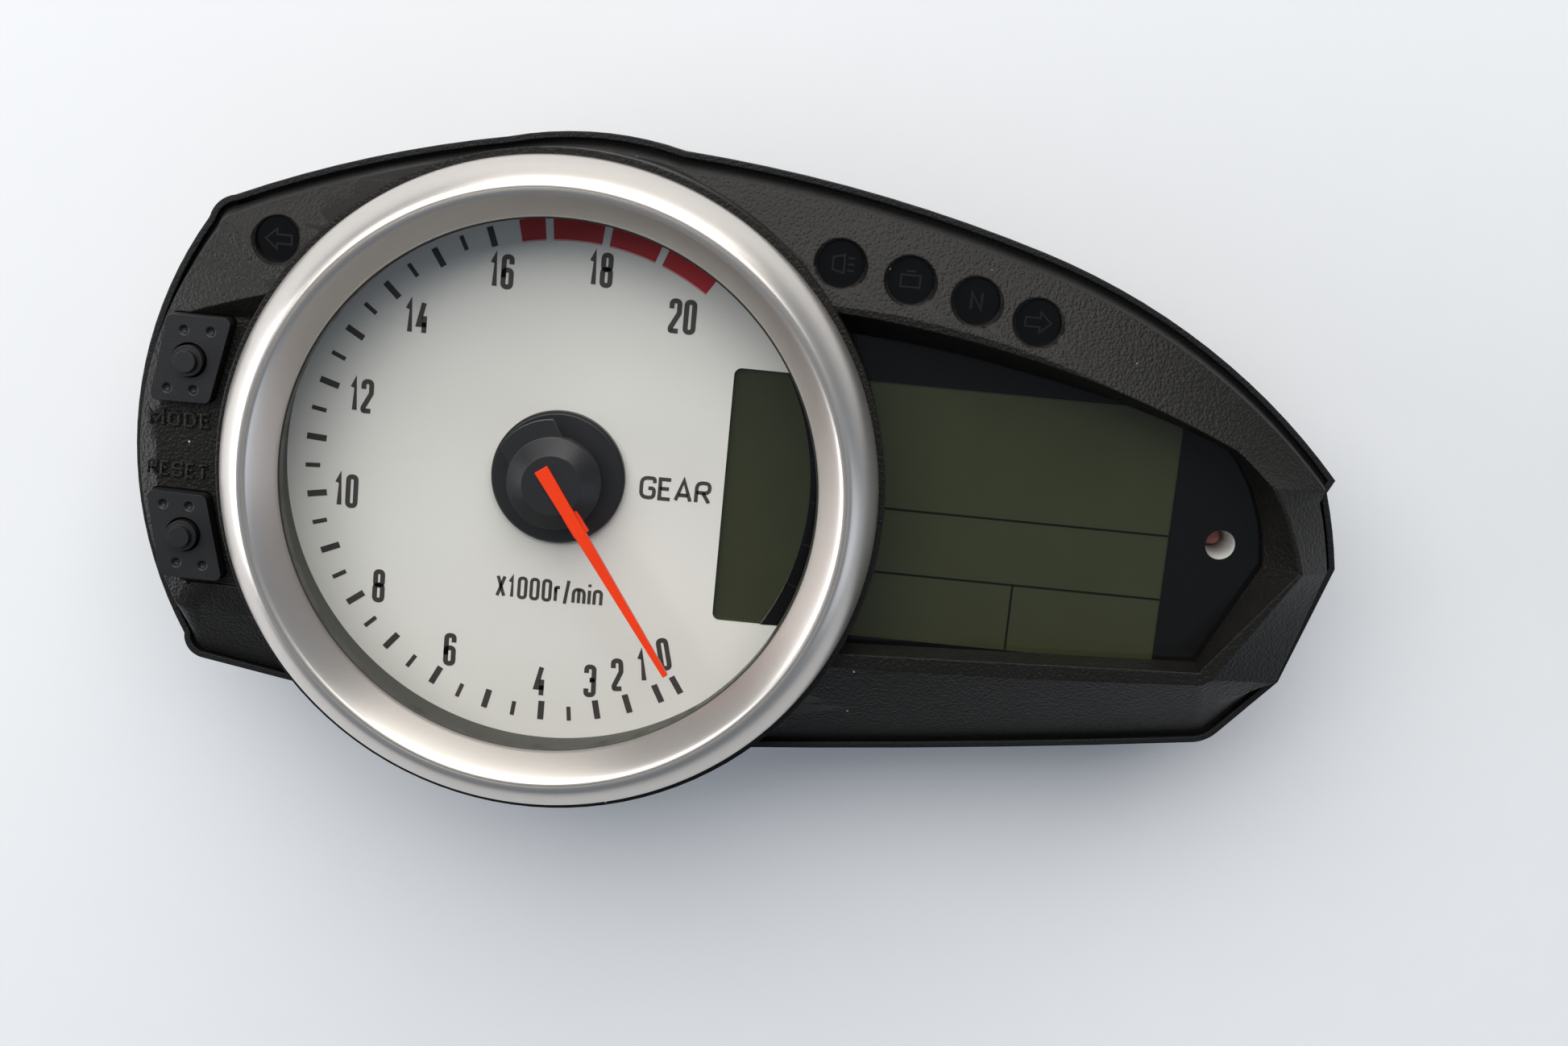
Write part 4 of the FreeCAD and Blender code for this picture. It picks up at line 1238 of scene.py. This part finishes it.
@dataclass
class LampIcons:
    """Faint generic signs behind the five smoked lenses."""

    pen: float = 0.36
    letter_font: Lettering = Lettering(height=3.4, pen=0.5, glyph=2.3, gap=0.4)
    bottom: float = 0.02
    top: float = 0.05
    rays: Triple = (-1.1, 0.0, 1.1)
    ray_ends: tuple[float, float] = (1.2, 2.4)
    letter_lamp: int = 4

    def signs(self) -> dict[int, list[Stroke]]:
        """List the signs that are drawn as lines.

        Returns:
            By lamp, the lines round its middle, and whether each one is closed.
        """
        start, end = self.ray_ends
        rays: list[Stroke] = [(((start, y), (end, y)), False) for y in self.rays]
        return {1: [(ARROW, True)],
                2: [(HEADLAMP, True)] + rays,
                3: [(ENGINE, True), (ENGINE_CAP, False)],
                5: [(tuple((-x, y) for x, y in ARROW), True)]}

    def build(self) -> None:
        """Draw one sign on each lens."""
        signs, sheet = self.signs(), Sheetwork()
        for number in range(1, LAMPS + 1):
            low, high = DIAL.box(f"indicator_lens_{number}")
            x, y = (low.x + high.x) / 2, (low.y + high.y) / 2
            level, top = high.z + self.bottom, high.z + self.top
            if number == self.letter_lamp:
                self.letter_font.write(sheet, "N", (x, y), level, top)
            for line, closed in signs.get(number, []):
                sheet.ribbon([(x + a, y + b) for a, b in line], self.pen, level, top, closed)
        finished(sheet.mesh("icons"), "lamp_icons", ICON, "housing")


@dataclass
class ButtonLabels:
    """Raised words by the two buttons, placed from the near edge of each one's pad."""

    mode_font: Lettering = Lettering(height=2.9, pen=0.6, glyph=2.35, gap=0.55)
    reset_font: Lettering = Lettering(height=2.9, pen=0.5, glyph=2.0, gap=0.45)
    mode_shift: Point = (-2.3, -2.6)
    reset_shift: Point = (-2.4, 2.6)
    lean: float = 1.5
    ledge: float = 3.9
    rise: float = 0.32
    sink: float = 0.1

    def build(self) -> None:
        """Raise the words on the ledge."""
        sheet = Sheetwork()
        level, top = self.ledge - self.sink, self.ledge + self.rise
        low, high = DIAL.box("mode_pad")
        place = ((low.x + high.x) / 2 + self.mode_shift[0], low.y + self.mode_shift[1])
        self.mode_font.write(sheet, "MODE", place, level, top, self.lean)
        low, high = DIAL.box("reset_pad")
        place = ((low.x + high.x) / 2 + self.reset_shift[0], high.y + self.reset_shift[1])
        self.reset_font.write(sheet, "RESET", place, level, top, -self.lean)
        finished(sheet.mesh("labels"), "button_labels", COVER, "housing")


@dataclass
class BackRibs:
    """Stiffening ribs on the flat of the rear cover, crossed by rails.

    The rails' places are shares of the ribs' length from its middle.
    """

    count: int = 10
    left: float = -33.0
    middle: float = 2.0
    pitch: float = 9.4
    length: float = 36.0
    width: float = 1.2
    thickness: float = 0.9
    sink: float = 0.05
    rails: Triple = (-0.5, 0.0, 0.5)
    rail_thickness: float = 0.89

    def build(self) -> None:
        """Set the ribs and the rails on the back."""
        back, _ = DIAL.box("rear_cover")
        root = back.z + self.sink
        corner = (self.left, self.middle, root - self.thickness / 2)
        ribs = RibRow("back_ribs", REAR, count=self.count, corner=corner, pitch=self.pitch,
                      length=self.length, width=self.width, thickness=self.thickness)
        finished(ribs.mesh(), ribs.name, REAR, "housing")
        start = self.left - self.width / 2
        end = self.left + (self.count - 1) * self.pitch + self.width / 2
        sheet = Sheetwork()
        for share in self.rails:
            y = self.middle + share * self.length
            sheet.ribbon([(start, y), (end, y)], self.width, root - self.rail_thickness, root)
        finished(sheet.mesh("rails"), "back_rails", REAR, "housing")


@dataclass(frozen=True)
class SoftBox:
    """Rectangular light that looks at the part; places and sizes in metres, power in watts."""

    name: str
    place: Triple
    size: tuple[float, float]
    power: float
    colour: Triple

    def build(self) -> None:
        """Hang the light."""
        data = bpy.data.lights.new(self.name, "AREA")
        data.shape = "RECTANGLE"
        data.size, data.size_y = self.size
        data.energy = self.power
        data.color = self.colour
        lamp = bpy.data.objects.new(self.name, data)
        lamp.location = self.place
        lamp.rotation_mode = "QUATERNION"
        lamp.rotation_quaternion = (-Vector(self.place)).to_track_quat("-Z", "Y")
        bpy.context.scene.collection.objects.link(lamp)


@dataclass
class Studio:
    """Floor, lights and camera.

    The floor is in metres. The camera's eye and aim are in millimetres from the dial's middle.
    """

    floor_reach: float = 3.0
    air_colour: tuple[float, float, float, float] = (0.74, 0.85, 1.0, 1.0)
    air_strength: float = 0.23
    lights: tuple[SoftBox, ...] = (
        SoftBox("window", (-0.28, 1.1, 1.35), (2.6, 1.5), 40.0, (1.0, 0.98, 0.94)),
        SoftBox("back", (0.1, 1.45, 0.5), (1.8, 0.5), 7.0, (1.0, 0.98, 0.93)),
        SoftBox("fill", (1.15, -0.35, 0.5), (0.6, 0.8), 1.5, (0.80, 0.88, 1.0)),
        SoftBox("left", (-1.2, -0.1, 0.34), (0.9, 0.5), 8.0, (0.97, 0.98, 1.0)))
    lens: float = 44.4
    sensor: float = 36.0
    clip: tuple[float, float] = (0.02, 20.0)
    eye: Triple = (42.52, 65.31, 347.24)
    aim: Triple = (41.755, -4.580, 0.0)
    roll: float = -5.613

    def floor(self) -> None:
        """Lay the pale floor under the part."""
        low, _ = CAD_BOX
        corners = [(x * self.floor_reach, y * self.floor_reach, low.z)
                   for x, y in ((-1, -1), (1, -1), (1, 1), (-1, 1))]
        mesh = bpy.data.meshes.new("floor")
        mesh.from_pydata(corners, [], [[0, 1, 2, 3]])
        mesh.materials.append(FLOOR.material())
        floor = bpy.data.objects.new("studio_floor", mesh)
        bpy.context.scene.collection.objects.link(floor)

    def world(self) -> None:
        """Fill the room with a little soft light, and show colours as they are."""
        bpy.context.scene.view_settings.view_transform = "Standard"
        world = bpy.data.worlds.new("studio_air")
        world.use_nodes = True
        world.node_tree.nodes.clear()
        graph = Graph(world.node_tree)
        air = graph.add("ShaderNodeBackground", None, {
            "Color": self.air_colour, "Strength": self.air_strength})
        graph.add("ShaderNodeOutputWorld", None, {"Surface": air.outputs[0]})
        bpy.context.scene.world = world

    def camera(self) -> None:
        """Stand the camera above the display, nearly square to the dial."""
        data = bpy.data.cameras.new("camera")
        data.lens = self.lens
        data.sensor_width = self.sensor
        data.clip_start, data.clip_end = self.clip
        camera = bpy.data.objects.new("camera", data)
        eye, aim = DIAL.at(*self.eye), DIAL.at(*self.aim)
        forward = (aim - eye).normalized()
        right = forward.cross(Vector((0.0, 1.0, 0.0))).normalized()
        up = right.cross(forward)
        turn = math.radians(self.roll)
        tilted_up = up * math.cos(turn) + right * math.sin(turn)
        tilted_right = right * math.cos(turn) - up * math.sin(turn)
        camera.matrix_world = Matrix((
            (tilted_right.x, tilted_up.x, -forward.x, eye.x),
            (tilted_right.y, tilted_up.y, -forward.y, eye.y),
            (tilted_right.z, tilted_up.z, -forward.z, eye.z), (0, 0, 0, 1)))
        bpy.context.scene.collection.objects.link(camera)
        bpy.context.scene.camera = camera

    def build(self) -> None:
        """Set up the whole studio."""
        self.floor()
        self.world()
        for light in self.lights:
            light.build()
        self.camera()


def cad_finishes() -> dict[str, Finish]:
    """List the CAD nodes that keep their own mesh.

    Returns:
        Finish of each node by its name.
    """
    finishes = {
        "tach_lens": LENS, "display_lens": LENS, "lens_seal": SEAL, "case_seal": SEAL,
        "dial_plate": DIAL_WHITE, "display_mask": MASK, "lcd_panel": PANEL, "lcd_frame": WHITE,
        "light_guide": GUIDE, "dial_light_guide": GUIDE, "zebra_upper": SEAL,
        "zebra_lower": SEAL, "circuit_board": BOARD, "connector_pins": PIN,
        "board_screws": STEEL, "lamp_led": LAMP_RED, "mode_switch": MOTOR,
        "reset_switch": MOTOR, "stepper_motor": MOTOR, "pointer_shaft": STEEL,
        "mode_plunger": WHITE, "reset_plunger": WHITE}
    for number in range(1, LAMPS + 1):
        finishes[f"indicator_lens_{number}"] = SMOKED
        finishes[f"indicator_led_{number}"] = LED
    return finishes


def soft_finishes() -> dict[str, tuple[Finish, str, float]]:
    """List the CAD nodes that are shown as softened copies.

    Returns:
        Finish, body and bevel in millimetres of each node by its name.
    """
    finishes = {
        "front_cover": (COVER, "housing", 0.0), "rear_cover": (REAR, "housing", 0.0),
        "dial_disc": (POINTER, "housing", 0.12), "pointer_cap": (POINTER, "pointer", 0.12),
        "needle": (NEEDLE, "pointer", 0.12), "mode_pad": (PAD, "housing", 0.16),
        "reset_pad": (PAD, "housing", 0.16), "mode_button": (PAD, "mode", 0.15),
        "reset_button": (PAD, "reset", 0.15), "lamp_tube": (WHITE, "housing", 0.1),
        "connector_header": (SOCKET, "housing", 0.15), "case_screws": (STEEL, "housing", 0.12),
        "vent_cap": (REAR, "housing", 0.15)}
    for number in range(1, MOUNTS + 1):
        finishes[f"mount_cup_{number}"] = (REAR, "housing", 0.2)
        finishes[f"mount_damper_{number}"] = (PAD, "housing", 0.3)
        finishes[f"mount_collar_{number}"] = (STEEL, "housing", 0.2)
    return finishes


def main() -> None:
    """Build every piece in order."""
    CadParts(cad_finishes()).dress()
    SoftParts(soft_finishes()).build()
    for part in (Ring(), DialPrint(), GearWindow(), DisplayPrint(), LampIcons(), ButtonLabels(),
                 BackRibs(), Studio()):
        part.build()
        log.info("%s done", type(part).__name__)


if __name__ == "__main__":
    main()
